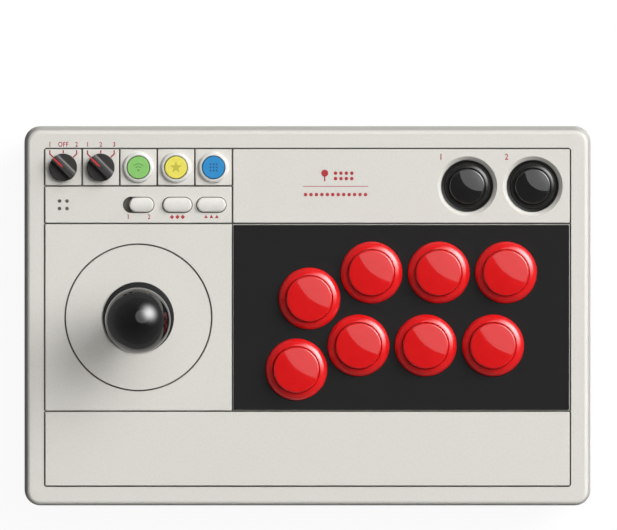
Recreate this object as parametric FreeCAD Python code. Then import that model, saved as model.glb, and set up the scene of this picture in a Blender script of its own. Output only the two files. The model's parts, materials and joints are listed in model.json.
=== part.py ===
"""Desktop arcade stick: a two-shell case with a ball-top lever, push buttons and a block of small controls.

Millimetres, +Z up. X runs left to right and Y front to back as the player sees it. The origin is the centre
of the case's plan, on the surface that the rubber feet stand on. Each function makes one piece in its place.
"""

import FreeCAD
import Part
import math
import os

from FreeCAD import Vector

# Panel grid: the fields of the top are whole modules, parted by moulded grooves
MODULE = 20.1
GRID_COLUMNS = 14
GRID_ROWS = 9
CONTROL_COLUMNS = 5
HEADER_ROWS = 2
PALM_ROWS = 2
GROOVE_WIDTH = 0.85
GROOVE_DEPTH = 1.6
FIELD_CORNER = 1.0
FIELD_CHAMFER = 0.25
SIDE_RIM = 11.0
END_RIM = 11.25

# Case shells
FOOT_HEIGHT = 3.0
LOWER_HEIGHT = 24.0
UPPER_HEIGHT = 24.0
CASE_CORNER = 8.5
CASE_WALL = 2.8
DECK_THICK = 3.5
FLOOR_THICK = 3.0
UPPER_DRAFT = 1.57
TOP_FILLET = 2.2
SHADOW_GAP = 0.8
LOWER_TAPER = 5.0
LOWER_FILLET = 2.0
LIP_HEIGHT = 2.0
LIP_ROOT = 3.0
LIP_THICK = 1.4
LIP_CLEAR = 0.3

# Rubber feet
FOOT_LENGTH = 44.0
FOOT_WIDTH = 13.0
FOOT_RECESS = 0.8
FOOT_CHAMFER = 0.6
FOOT_INSET_X = 46.0
FOOT_INSET_Y = 29.0
FOOT_CLEAR = 0.1

# Case screws in their posts
POST_RADIUS = 4.5
POST_INSET_X = 12.0
POST_INSET_FRONT = 16.5
POST_INSET_BACK = 13.5
POST_BACK_X = -30.0
POST_SIDE_ROW = 1.5
POST_BORE_DEPTH = 12.0
SCREW_RADIUS = 1.5
SCREW_HEAD_RADIUS = 2.9
SCREW_HEAD_HEIGHT = 2.2
SCREW_SEAT_DEPTH = 9.0
SCREW_REACH = 10.0
SCREW_FIT = 0.05
SCREW_CLEAR = 0.3

# Black steel button panel, held by weld studs and nuts
PANEL_THICK = 2.0
PANEL_CLEAR = 0.15
PANEL_EDGE = 0.5
STUD_RADIUS = 1.5
STUD_LENGTH = 6.0
STUD_INSET = 6.0
STUD_CLEAR = 0.2
NUT_FLATS = 5.5
NUT_HEIGHT = 2.4

# Action buttons: the snap-in size for a 30 mm hole
ACTION_HOLE_RADIUS = 15.0
ACTION_FLANGE_RADIUS = 16.5
ACTION_FLANGE_EDGE = 0.6
ACTION_CREST_HEIGHT = 3.2
ACTION_SHOULDER_RADIUS = 16.1
ACTION_SHOULDER_HEIGHT = 1.05
ACTION_PLUNGER_RADIUS = 12.25
ACTION_PLUNGER_HEIGHT = 6.2
ACTION_DOME = 0.6
ACTION_TRAVEL = 3.6
ACTION_PITCH = 36.0
ACTION_ROW_PITCH = 39.05
ACTION_ROW_SHIFT = -6.95
ACTION_REFERENCE_X = 20.0
ACTION_REFERENCE_Y = 24.1
FIRST_COLUMN_PITCH = 33.2
FIRST_DROP_UPPER = 13.9
FIRST_DROP_LOWER = 12.85

# Player buttons: the snap-in size for a 24 mm hole, sunk in a dished recess
PLAYER_HOLE_RADIUS = 12.0
PLAYER_FLANGE_RADIUS = 13.6
PLAYER_FLANGE_EDGE = 0.8
PLAYER_CREST_HEIGHT = 3.1
PLAYER_SHOULDER_RADIUS = 12.4
PLAYER_SHOULDER_HEIGHT = 1.3
PLAYER_PLUNGER_RADIUS = 9.4
PLAYER_PLUNGER_HEIGHT = 5.4
PLAYER_DOME = 0.75
PLAYER_TRAVEL = 3.0
PLAYER_PITCH = 35.1
PLAYER_COLUMN = 13.0
RECESS_DEPTH = 3.6
RECESS_MOUTH_RADIUS = 16.0
RECESS_MOUTH_DEPTH = 2.0
RECESS_FLOOR_RADIUS = 14.0
RECESS_SEAT_THICK = 3.5
RECESS_PAD_WALL = 2.0

# Snap-in button construction, common to both sizes
BARREL_CLEAR = 0.12
BARREL_WALL = 1.15
BARREL_DEPTH = 17.0
BORE_CLEAR = 0.2
CHAMBER_STEP = 6.0
CREST_CHAMFER = 0.35
BEZEL_BULGE = 0.36
PLUNGER_EDGE = 0.9
PLUNGER_WALL = 1.8
PLUNGER_LIP = 0.3
PLUNGER_LIP_HEIGHT = 1.3
PLUNGER_REST_GAP = 0.1
STEM_RADIUS = 3.0
STEM_REACH = 2.0
TAB_DEPTH = 1.0
TAB_HEIGHT = 3.6
TAB_ANGLE = 40.0
TAB_CLEAR = 0.1
TAB_ROOT = 0.3
SWITCH_LENGTH = 17.0
SWITCH_WIDTH = 6.4
SWITCH_HEIGHT = 10.0
SWITCH_CLEAR = 0.3
HOLDER_THICK = 2.5
HOLDER_RIM = 1.2
HOLDER_CLEAR = 0.2
TERMINAL_WIDTH = 4.8
TERMINAL_THICK = 0.8
TERMINAL_LENGTH = 6.5
TERMINAL_PITCH = 12.0

# Round colour buttons in raised rings
CAP_NAMES = ("pairing", "favourite", "profile")
FIRST_CAP_COLUMN = 2.5
CAP_RADIUS = 5.95
CAP_CLEAR = 0.45
CAP_HEIGHT = 2.3
CAP_EDGE = 0.3
CAP_TRAVEL = 0.8
CAP_LIP = 0.9
CAP_LIP_HEIGHT = 1.0
RING_FOOT_RADIUS = 8.25
RING_FOOT_HEIGHT = 0.4
RING_TOP_RADIUS = 6.75
RING_HEIGHT = 2.1
RING_BULGE = 0.7
RING_BARREL_WALL = 0.8
RING_FIT = 0.05
RING_SNAP = 0.4
RING_SNAP_HEIGHT = 0.8

# Select and start keys, and the mode slider in the same row
KEY_LENGTH = 15.5
KEY_WIDTH = 7.8
KEY_HEIGHT = 1.6
KEY_EDGE = 0.9
KEY_CLEAR = 0.45
KEY_GAP = 2.7
KEY_MARGIN = 3.45
KEY_LIP = 0.9
KEY_LIP_HEIGHT = 1.0
KEY_LIP_GAP = 0.2
KEY_TRAVEL = 0.8
SLIDER_LENGTH = 13.0
SLIDER_TRAVEL = 3.0
SLIDER_GAP = 4.5
SLIDER_SLOT_DEPTH = 2.6
SLIDER_FLOOR_GAP = 0.3
SLIDER_STEM_RADIUS = 1.5
SLIDER_CATCH = 1.0
SLIDER_CATCH_HEIGHT = 0.8

# Status lights
LIGHT_RADIUS = 0.95
LIGHT_PITCH = 4.0
LIGHT_COLUMN = 0.5
LIGHT_SINK = 0.2
LIGHT_FLANGE = 0.6
LIGHT_FLANGE_HEIGHT = 0.8
LIGHT_FIT = 0.05

# Rotary dials
DIAL_RADIUS = 7.4
DIAL_DISC_HEIGHT = 3.4
DIAL_DISC_CHAMFER = 0.5
DIAL_BAR_HEIGHT = 4.2
DIAL_BAR_FOOT = 6.2
DIAL_BAR_WAIST = 4.0
DIAL_BAR_TOP = 2.9
DIAL_FOOT_RISE = 0.5
DIAL_BAR_EDGE = 0.3
DIAL_GAP = 0.4
DIAL_SHAFT_RADIUS = 3.0
DIAL_SHAFT_CLEAR = 0.2
DIAL_POINTER_ANGLE = 135.0
DIAL_POINTER_WIDTH = 0.9
DIAL_POINTER_LENGTH = 7.0
DIAL_POINTER_DEPTH = 0.3

# Control board under the small controls
BOARD_THICK = 1.6
CONTROL_BOARD_DROP = 12.0
CONTROL_BOARD_INSET = 1.5
TACT_SIDE = 6.0
TACT_NUB_RADIUS = 1.7
TACT_NUB_HEIGHT = 1.4
TACT_GAP = 0.2
ROTARY_SIDE = 12.0
ROTARY_DROP = 5.5
ROTARY_FIT = 0.05
SHAFT_TIP_GAP = 1.0
SLIDE_SWITCH_LENGTH = 12.0
SLIDE_SWITCH_WIDTH = 5.0
SLIDE_SWITCH_DROP = 6.8
SLIDE_SWITCH_SLOT_DEPTH = 2.2
SLIDE_SWITCH_CLEAR = 0.3
BOARD_POST_RADIUS = 2.6
BOARD_POST_INSET = 4.0
BOARD_SCREW_RADIUS = 1.0
BOARD_SCREW_HEAD_RADIUS = 1.9
BOARD_SCREW_HEAD_HEIGHT = 1.4
BOARD_SCREW_LENGTH = 6.0
BOARD_SCREW_FIT = 0.05

# Main board, battery and ballast in the lower shell
MAIN_BOARD_WIDTH = 56.0
MAIN_BOARD_DEPTH = 42.0
MAIN_BOARD_X = 6.0
MAIN_BOARD_STANDOFF = 6.0
MAIN_BOARD_WALL_GAP = 0.6
CHIP_SIDE = 9.0
CHIP_HEIGHT = 1.0
HEADER_LENGTH = 30.0
HEADER_WIDTH = 5.0
HEADER_HEIGHT = 6.0
BATTERY_LENGTH = 60.0
BATTERY_WIDTH = 36.0
BATTERY_HEIGHT = 8.0
BATTERY_EDGE = 2.0
BATTERY_X = 95.0
BATTERY_Y = 66.0
BALLAST_LENGTH = 160.0
BALLAST_WIDTH = 112.0
BALLAST_THICK = 4.5
BALLAST_CORNER = 4.0
BALLAST_GAP = 6.0
BALLAST_Y = -18.0
PEG_RADIUS = 2.5
PEG_INSET = 9.0
PEG_CLEAR = 0.1
PEG_STAND = 1.2

# Charging port in the lower shell's back wall
PORT_X = 0.0
PORT_WIDTH = 9.0
PORT_HEIGHT = 3.3
PORT_DEPTH = 7.4
PORT_WALL = 0.3
PORT_BACK = 1.2
PORT_TONGUE_WIDTH = 6.7
PORT_TONGUE_THICK = 0.7
PORT_TONGUE_LENGTH = 4.6
PORT_CLEAR = 0.3
PORT_RECESS_WIDTH = 13.0
PORT_RECESS_HEIGHT = 7.0
PORT_RECESS_DEPTH = 1.0

# Lever and its pivot
LEVER_COLUMN = 2.5
LEVER_ROW = 4.5
LEVER_TOP = 111.4
LEVER_TILT = 9.0
BALL_RADIUS = 17.5
BALL_FLAT_RADIUS = 6.5
BALL_BORE_DEPTH = 15.0
SHAFT_RADIUS = 4.0
SHAFT_STUB_RADIUS = 3.0
SHAFT_TAIL_RADIUS = 3.0
SHAFT_FIT = 0.05
SLEEVE_RADIUS = 4.75
SLEEVE_TAIL = 6.0
WASHER_RADIUS = 18.65
WASHER_THICK = 1.2
WASHER_CHAMFER = 0.4
WASHER_CLEAR = 0.6
DECK_HOLE_RADIUS = 12.5
LEVER_RING_RADIUS = 39.7
LEVER_RING_WIDTH = 1.0

# Lever mechanism, top to bottom
STICK_STANDOFF = 3.0
STICK_POST_RADIUS = 5.0
STICK_PLATE_LENGTH = 95.0
STICK_PLATE_RIM = 0.5
STICK_PLATE_THICK = 1.6
STICK_PLATE_CORNER = 4.0
STICK_PLATE_HOLE_INSET = 6.0
STICK_PLATE_BORE_RADIUS = 12.5
PIVOT_DEPTH = 8.5
ROCKER_LENGTH = 22.0
ROCKER_WIDTH = 17.0
ROCKER_HEIGHT = 10.0
ROCKER_EDGE = 1.5
ROCKER_SLOT_CLEAR = 0.3
TRUNNION_RADIUS = 3.0
TRUNNION_LENGTH = 5.0
TRUNNION_FIT = 0.05
KEEPER_LENGTH = 3.5
KEEPER_CLEAR = 0.3
PIVOT_PIN_RADIUS = 1.5
PIVOT_PIN_FIT = 0.05
HOUSING_LENGTH = 62.0
HOUSING_WIDTH = 52.0
HOUSING_HEIGHT = 18.0
HOUSING_CORNER = 3.0
HOUSING_END_CLEAR = 0.5
HOUSING_SWING_CLEAR = 0.6
COLLAR_DROP = 6.6
COLLAR_RADIUS = 5.6
COLLAR_THICK = 1.0
SPRING_RADIUS = 4.9
SPRING_WIRE = 0.5
SPRING_TURNS = 3.5
SPRING_SEAT_GAP = 0.05
SPRING_LENGTH = 6.0
ACTUATOR_RADIUS = 6.6
ACTUATOR_HEIGHT = 6.0
ACTUATOR_CHAMFER = 0.8
CLIP_RADIUS = 4.6
CLIP_THICK = 0.8
CLIP_GROOVE = 0.5
CLIP_MOUTH = 4.0
TAIL_RECESS = 0.4
STICK_BOARD_THICK = 1.6
STICK_SWITCH_GAP = 0.5
STICK_SWITCH_DROP = 9.0
GATE_WALL = 2.0
GATE_FLOOR = 2.0
GATE_FLOOR_GAP = 0.4
GATE_STOP_CLEAR = 0.35
STICK_BOLT_INSET = 4.5
STICK_BOLT_RADIUS = 1.5
STICK_BOLT_CLEAR = 0.2

# Sizes that follow from the ones above
GRID_WIDTH = GRID_COLUMNS * MODULE
GRID_DEPTH = GRID_ROWS * MODULE
CASE_WIDTH = GRID_WIDTH + 2 * SIDE_RIM
CASE_DEPTH = GRID_DEPTH + 2 * END_RIM
PARTING_Z = FOOT_HEIGHT + LOWER_HEIGHT
DECK_Z = PARTING_Z + UPPER_HEIGHT
DECK_UNDER_Z = DECK_Z - DECK_THICK
FLOOR_Z = FOOT_HEIGHT + FLOOR_THICK
CONTROL_BOARD_Z = DECK_Z - CONTROL_BOARD_DROP
MAIN_BOARD_Z = FLOOR_Z + MAIN_BOARD_STANDOFF
PORT_Z = MAIN_BOARD_Z + BOARD_THICK + PORT_HEIGHT / 2
PLATE_TOP_Z = DECK_UNDER_Z - STICK_STANDOFF
HOUSING_TOP_Z = PLATE_TOP_Z - STICK_PLATE_THICK
PIVOT_Z = HOUSING_TOP_Z - PIVOT_DEPTH
STICK_PLATE_WIDTH = HOUSING_WIDTH + 2 * STICK_PLATE_RIM
HOUSING_BOTTOM_Z = HOUSING_TOP_Z - HOUSING_HEIGHT
COLLAR_BOTTOM_Z = PIVOT_Z - COLLAR_DROP - COLLAR_THICK
ACTUATOR_TOP_Z = COLLAR_BOTTOM_Z - SPRING_LENGTH
ACTUATOR_BOTTOM_Z = ACTUATOR_TOP_Z - ACTUATOR_HEIGHT
CLIP_BOTTOM_Z = ACTUATOR_BOTTOM_Z - CLIP_THICK
BALL_CENTRE_Z = LEVER_TOP - BALL_RADIUS
BALL_FLAT_Z = BALL_CENTRE_Z - math.sqrt(BALL_RADIUS**2 - BALL_FLAT_RADIUS**2)
TILT = math.radians(LEVER_TILT)
BOTH_TILTS = math.acos(math.cos(TILT) ** 2)
SWITCH_BOTTOM_Z = HOUSING_BOTTOM_Z - STICK_BOARD_THICK - STICK_SWITCH_DROP
GATE_FLOOR_Z = min(CLIP_BOTTOM_Z - CLIP_RADIUS * math.sin(BOTH_TILTS), SWITCH_BOTTOM_Z) - GATE_FLOOR_GAP
GATE_BOTTOM_Z = GATE_FLOOR_Z - GATE_FLOOR
SHAFT_END_Z = GATE_BOTTOM_Z + TAIL_RECESS
WASHER_HEIGHT = DECK_Z + WASHER_THICK / 2 - PIVOT_Z
HALF = math.sqrt(0.5)


def grid_x(column):
    """X of a grid line, counted from the left."""
    return column * MODULE - GRID_WIDTH / 2


def grid_y(row):
    """Y of a grid line, counted from the back."""
    return GRID_DEPTH / 2 - row * MODULE


LEVER_X = grid_x(LEVER_COLUMN)
LEVER_Y = grid_y(LEVER_ROW)
BALLAST_X = LEVER_X + STICK_PLATE_LENGTH / 2 + BALLAST_GAP + BALLAST_LENGTH / 2
PANEL_CENTRE_X = (grid_x(CONTROL_COLUMNS) + grid_x(GRID_COLUMNS)) / 2
PANEL_CENTRE_Y = (grid_y(HEADER_ROWS) + grid_y(GRID_ROWS - PALM_ROWS)) / 2
CONTROL_ROW_Y = grid_y(0.5)
KEY_ROW_Y = grid_y(1.5)
START_X = grid_x(CONTROL_COLUMNS) - KEY_MARGIN - KEY_LENGTH / 2
SELECT_X = START_X - KEY_LENGTH - KEY_GAP
SLIDER_X = SELECT_X - KEY_LENGTH / 2 - SLIDER_GAP - KEY_CLEAR - SLIDER_LENGTH / 2
SLOT_X = SLIDER_X - SLIDER_TRAVEL / 2
KEY_PLACES = {"select": (SELECT_X, KEY_ROW_Y), "start": (START_X, KEY_ROW_Y)}
DIAL_PLACES = {"left": (grid_x(0.5), CONTROL_ROW_Y), "right": (grid_x(1.5), CONTROL_ROW_Y)}
CAP_PLACES = {
    name: (grid_x(FIRST_CAP_COLUMN + step), CONTROL_ROW_Y) for step, name in enumerate(CAP_NAMES)
}
PLAYER_PLACES = {
    "one": (grid_x(PLAYER_COLUMN) - PLAYER_PITCH, grid_y(HEADER_ROWS / 2)),
    "two": (grid_x(PLAYER_COLUMN), grid_y(HEADER_ROWS / 2)),
}


def action_places():
    """Centres of the action buttons by name: two staggered rows with a dropped first column."""
    places = {}
    rows = {
        "upper": (0, 0, FIRST_DROP_UPPER),
        "lower": (ACTION_ROW_SHIFT, -ACTION_ROW_PITCH, FIRST_DROP_LOWER),
    }
    for row, (shift_x, shift_y, drop) in rows.items():
        y = PANEL_CENTRE_Y + ACTION_REFERENCE_Y + shift_y
        second_x = PANEL_CENTRE_X + ACTION_REFERENCE_X + shift_x - ACTION_PITCH
        places[row + "_1"] = (second_x - FIRST_COLUMN_PITCH, y - drop)
        for number in range(3):
            places[f"{row}_{number + 2}"] = (second_x + number * ACTION_PITCH, y)
    return places


def light_places():
    """Centres of the status lights: a square of four."""
    x, y = grid_x(LIGHT_COLUMN), KEY_ROW_Y
    half = LIGHT_PITCH / 2
    return [(x + sx * half, y + sy * half) for sx in (-1, 1) for sy in (-1, 1)]


def post_places():
    """Centres of the posts that the case screws run in."""
    right = CASE_WIDTH / 2 - POST_INSET_X
    front = POST_INSET_FRONT - CASE_DEPTH / 2
    back = CASE_DEPTH / 2 - POST_INSET_BACK
    back_posts = [(-right, grid_y(POST_SIDE_ROW)), (POST_BACK_X, back), (right, back)]
    return back_posts + [(x, front) for x in (-right, 0, right)]


def stud_places():
    """Centres of the weld studs along the button panel's long edges."""
    left, right = grid_x(CONTROL_COLUMNS) + STUD_INSET, grid_x(GRID_COLUMNS) - STUD_INSET
    back, front = grid_y(HEADER_ROWS) - STUD_INSET, grid_y(GRID_ROWS - PALM_ROWS) + STUD_INSET
    return [(x, y) for x in (left, (left + right) / 2, right) for y in (front, back)]


def foot_places():
    """Centres of the rubber feet."""
    x, y = CASE_WIDTH / 2 - FOOT_INSET_X, CASE_DEPTH / 2 - FOOT_INSET_Y
    return [(sx * x, sy * y) for sx in (-1, 1) for sy in (-1, 1)]


def corners(x, y, half_x, half_y):
    """The four corners of a rectangle about a centre."""
    return [(x + sx * half_x, y + sy * half_y) for sx in (-1, 1) for sy in (-1, 1)]


def control_board_box():
    """Left, right, front and back edges of the control board."""
    left, right = grid_x(0) + CONTROL_BOARD_INSET, grid_x(CONTROL_COLUMNS) - CONTROL_BOARD_INSET
    return left, right, grid_y(HEADER_ROWS) + CONTROL_BOARD_INSET, grid_y(0) - CONTROL_BOARD_INSET


def control_board_posts():
    """Centres of the control board's posts: two beside the first dial and two between caps and keys."""
    _, right, front, back = control_board_box()
    inset = BOARD_POST_INSET
    dial_side = [(grid_x(1), front + inset), (grid_x(1), back - inset)]
    return dial_side + [(x, grid_y(1)) for x in (grid_x(3), right - inset / 2)]


def main_board_centre_y():
    """Y of the main board's centre: its back edge stands just inside the lower shell's back wall."""
    return lower_half(CASE_DEPTH, MAIN_BOARD_Z) - CASE_WALL - MAIN_BOARD_WALL_GAP - MAIN_BOARD_DEPTH / 2


def lower_half(width, z):
    """Half of the lower shell's outer width or depth at a height."""
    return width / 2 - SHADOW_GAP - LOWER_TAPER * (PARTING_Z - z) / LOWER_HEIGHT


def rounded_rectangle(width, depth, radius, z, x=0.0, y=0.0):
    """Closed wire of a rectangle with round corners, level at z."""
    w, d = width / 2 - radius, depth / 2 - radius
    arcs = []
    for quarter, (cx, cy) in enumerate(((w, -d), (w, d), (-w, d), (-w, -d))):
        turns = [math.radians(90 * (quarter - 1) + turn) for turn in (0, 45, 90)]
        arcs.append([Vector(x + cx + radius * math.cos(t), y + cy + radius * math.sin(t), z) for t in turns])
    edges = []
    for arc, following in zip(arcs, arcs[1:] + arcs[:1]):
        edges.append(Part.Arc(*arc).toShape())
        edges.append(Part.LineSegment(arc[2], following[0]).toShape())
    return Part.Wire(edges)


def stadium(length, width, z, x=0.0, y=0.0):
    """Closed wire of a slot shape along X, level at z."""
    r = width / 2
    h = length / 2 - r
    a, b = Vector(x - h, y - r, z), Vector(x + h, y - r, z)
    c, d = Vector(x + h, y + r, z), Vector(x - h, y + r, z)
    edges = [
        Part.LineSegment(a, b),
        Part.Arc(b, Vector(x + h + r, y, z), c),
        Part.LineSegment(c, d),
        Part.Arc(d, Vector(x - h - r, y, z), a),
    ]
    return Part.Wire([edge.toShape() for edge in edges])


def prism(wire, height):
    """Solid of a level wire raised by height."""
    return Part.Face(wire).extrude(Vector(0, 0, height))


def block(length, width, height, x, y, z):
    """Box centred on x and y, standing on z."""
    return Part.makeBox(length, width, height, Vector(x - length / 2, y - width / 2, z))


def cylinder(radius, z_low, z_high, x=0.0, y=0.0):
    """Upright cylinder between two heights."""
    return Part.makeCylinder(radius, z_high - z_low, Vector(x, y, z_low))


def turned(outline, x=0.0, y=0.0, z=0.0, angle=360.0):
    """Solid turned about the upright axis at x, y from an outline of (radius, height) points.

    A pair of points in the outline is an arc: through the first of them, to the second.
    """
    edges = []
    here = Vector(outline[0][0], 0, outline[0][1])
    for step in [*outline[1:], outline[0]]:
        if isinstance(step[0], tuple):
            middle, end = (Vector(r, 0, h) for r, h in step)
            edges.append(Part.Arc(here, middle, end).toShape())
        else:
            end = Vector(step[0], 0, step[1])
            edges.append(Part.LineSegment(here, end).toShape())
        here = end
    solid = Part.Face(Part.Wire(edges)).revolve(Vector(0, 0, 0), Vector(0, 0, 1), angle)
    solid.translate(Vector(x, y, z))
    return solid


def edges_at(shape, z):
    """Edges that lie level at a height."""
    box = [(e, e.BoundBox) for e in shape.Edges]
    return [e for e, b in box if abs(b.ZMin - z) < 1e-6 and abs(b.ZMax - z) < 1e-6]


def field(column, row, column_end, row_end):
    """One raised field of the moulded top, between grid lines, with a small chamfer on its upper edge."""
    width, depth = (column_end - column) * MODULE, (row_end - row) * MODULE
    x, y = (grid_x(column) + grid_x(column_end)) / 2, (grid_y(row) + grid_y(row_end)) / 2
    low = DECK_Z - GROOVE_DEPTH
    wire = rounded_rectangle(width - GROOVE_WIDTH, depth - GROOVE_WIDTH, FIELD_CORNER, low, x, y)
    solid = prism(wire, GROOVE_DEPTH)
    return solid.makeChamfer(FIELD_CHAMFER, edges_at(solid, DECK_Z))


def panel_outline(z, height, grow=0.0):
    """The black panel's outline as a prism, grown all round."""
    width = grid_x(GRID_COLUMNS) - grid_x(CONTROL_COLUMNS) - GROOVE_WIDTH + 2 * grow
    depth = grid_y(HEADER_ROWS) - grid_y(GRID_ROWS - PALM_ROWS) - GROOVE_WIDTH + 2 * grow
    wire = rounded_rectangle(width, depth, FIELD_CORNER + grow, z, PANEL_CENTRE_X, PANEL_CENTRE_Y)
    return prism(wire, height)


def groove_network():
    """What the grooves between the fields take away from the top."""
    width, depth, corner = GRID_WIDTH + GROOVE_WIDTH, GRID_DEPTH + GROOVE_WIDTH, FIELD_CORNER + GROOVE_WIDTH
    wire = rounded_rectangle(width, depth, corner, DECK_Z - GROOVE_DEPTH)
    last = GRID_ROWS - PALM_ROWS
    fields = [field(column, 0, column + 1, 1) for column in range(CONTROL_COLUMNS)]
    fields.append(field(0, 1, CONTROL_COLUMNS, HEADER_ROWS))
    fields.append(field(CONTROL_COLUMNS, 0, GRID_COLUMNS, HEADER_ROWS))
    fields.append(field(0, HEADER_ROWS, CONTROL_COLUMNS, last))
    fields.append(field(0, last, GRID_COLUMNS, GRID_ROWS))
    return prism(wire, GROOVE_DEPTH).cut(fields)


def upper_shell_half(width, z):
    """Half of the upper shell's outer width or depth at a height."""
    return width / 2 - UPPER_DRAFT * (z - PARTING_Z) / UPPER_HEIGHT


def shell_wire(half_of, z, inset, corner):
    """Level outline of a case shell at a height, drawn in by a wall."""
    width, depth = 2 * (half_of(CASE_WIDTH, z) - inset), 2 * (half_of(CASE_DEPTH, z) - inset)
    return rounded_rectangle(width, depth, corner - inset, z)


def shell_solid(half_of, z_low, z_high, inset):
    """Drafted solid of a case shell between two heights, drawn in by a wall."""
    wires = []
    for z in (z_low, z_high):
        corner = CASE_CORNER - (CASE_WIDTH / 2 - half_of(CASE_WIDTH, z))
        wires.append(shell_wire(half_of, z, inset, corner))
    return Part.makeLoft(wires, True, True)


def upper_case():
    """Upper shell: drafted walls, rounded top edge, panel fields and the openings of every control."""
    outer = shell_solid(upper_shell_half, PARTING_Z, DECK_Z, 0.0)
    outer = outer.makeFillet(TOP_FILLET, edges_at(outer, DECK_Z))
    shell = outer.cut(shell_solid(upper_shell_half, PARTING_Z, DECK_UNDER_Z, CASE_WALL))
    shell = shell.fuse(upper_posts())
    return shell.cut(upper_openings()).removeSplitter()


def upper_posts():
    """Posts and pads that hang from the deck: case screws, lever plate, control board and player buttons."""
    posts = [cylinder(POST_RADIUS, PARTING_Z, DECK_UNDER_Z, x, y) for x, y in post_places()]
    posts += [cylinder(STICK_POST_RADIUS, PLATE_TOP_Z, DECK_UNDER_Z, x, y) for x, y in stick_plate_holes()]
    board_top = CONTROL_BOARD_Z
    posts += [cylinder(BOARD_POST_RADIUS, board_top, DECK_UNDER_Z, x, y) for x, y in control_board_posts()]
    pad_radius = RECESS_FLOOR_RADIUS + RECESS_PAD_WALL
    pad_low = DECK_Z - RECESS_DEPTH - RECESS_SEAT_THICK
    posts += [cylinder(pad_radius, pad_low, DECK_UNDER_Z, x, y) for x, y in PLAYER_PLACES.values()]
    return posts


def upper_openings():
    """Grooves, pocket, recesses, holes and screw bores of the upper shell."""
    through = DECK_THICK
    low = DECK_UNDER_Z - through
    cuts = [groove_network(), panel_outline(DECK_Z - PANEL_THICK, PANEL_THICK, PANEL_CLEAR)]
    ring_low = DECK_Z - GROOVE_DEPTH
    ring = cylinder(LEVER_RING_RADIUS, ring_low, DECK_Z, LEVER_X, LEVER_Y)
    cuts.append(ring.cut(cylinder(LEVER_RING_RADIUS - LEVER_RING_WIDTH, ring_low, DECK_Z, LEVER_X, LEVER_Y)))
    cuts.append(cylinder(DECK_HOLE_RADIUS, low, DECK_Z, LEVER_X, LEVER_Y))
    cuts += [cylinder(ACTION_HOLE_RADIUS, low, DECK_Z, x, y) for x, y in action_places().values()]
    cuts += [cylinder(STUD_RADIUS + STUD_CLEAR, low, DECK_Z, x, y) for x, y in stud_places()]
    for x, y in PLAYER_PLACES.values():
        floor = DECK_Z - RECESS_DEPTH
        mouth = Vector(x, y, DECK_Z - RECESS_MOUTH_DEPTH)
        cuts.append(Part.makeCone(RECESS_FLOOR_RADIUS, RECESS_MOUTH_RADIUS, RECESS_MOUTH_DEPTH, mouth))
        cuts.append(cylinder(RECESS_FLOOR_RADIUS, floor, DECK_Z, x, y))
        cuts.append(cylinder(PLAYER_HOLE_RADIUS, floor - RECESS_SEAT_THICK, DECK_Z, x, y))
    hole = CAP_RADIUS + CAP_CLEAR + RING_BARREL_WALL + RING_FIT
    cuts += [cylinder(hole, low, DECK_Z, x, y) for x, y in CAP_PLACES.values()]
    hole = DIAL_SHAFT_RADIUS + DIAL_SHAFT_CLEAR
    cuts += [cylinder(hole, low, DECK_Z, x, y) for x, y in DIAL_PLACES.values()]
    cuts += [cylinder(LIGHT_RADIUS + LIGHT_FIT, low, DECK_Z, x, y) for x, y in light_places()]
    key_length, key_width = KEY_LENGTH + 2 * KEY_CLEAR, KEY_WIDTH + 2 * KEY_CLEAR
    cuts += [prism(stadium(key_length, key_width, low, x, y), DECK_Z - low) for x, y in KEY_PLACES.values()]
    slot_length = SLIDER_LENGTH + SLIDER_TRAVEL + 2 * KEY_CLEAR
    slot = stadium(slot_length, key_width, DECK_Z - SLIDER_SLOT_DEPTH, SLOT_X, KEY_ROW_Y)
    cuts += [prism(slot, SLIDER_SLOT_DEPTH), prism(stem_slot(low), DECK_Z - low)]
    pilot = SCREW_RADIUS + SCREW_FIT
    cuts += [cylinder(pilot, PARTING_Z, PARTING_Z + POST_BORE_DEPTH, x, y) for x, y in post_places()]
    bore = STICK_BOLT_RADIUS + SCREW_FIT
    cuts += [cylinder(bore, PLATE_TOP_Z, DECK_UNDER_Z + DECK_THICK / 2, x, y) for x, y in stick_plate_holes()]
    bore = BOARD_SCREW_RADIUS + BOARD_SCREW_FIT
    cuts += [cylinder(bore, CONTROL_BOARD_Z, DECK_UNDER_Z, x, y) for x, y in control_board_posts()]
    return cuts


def stem_slot(z):
    """Level outline of the narrow slot that the mode slider's stem travels in."""
    width = 2 * (SLIDER_STEM_RADIUS + SLIDE_SWITCH_CLEAR)
    return stadium(SLIDER_TRAVEL + width, width, z, SLOT_X, KEY_ROW_Y)


def lower_case():
    """Lower shell: a tray that tapers in to the feet, with a lip inside the upper shell and screw posts."""
    outer = shell_solid(lower_half, FOOT_HEIGHT, PARTING_Z, 0.0)
    outer = outer.makeFillet(LOWER_FILLET, edges_at(outer, FOOT_HEIGHT))
    shell = outer.cut(shell_solid(lower_half, FLOOR_Z, PARTING_Z, CASE_WALL))
    return shell.fuse(lower_adds()).cut(lower_openings()).removeSplitter()


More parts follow.
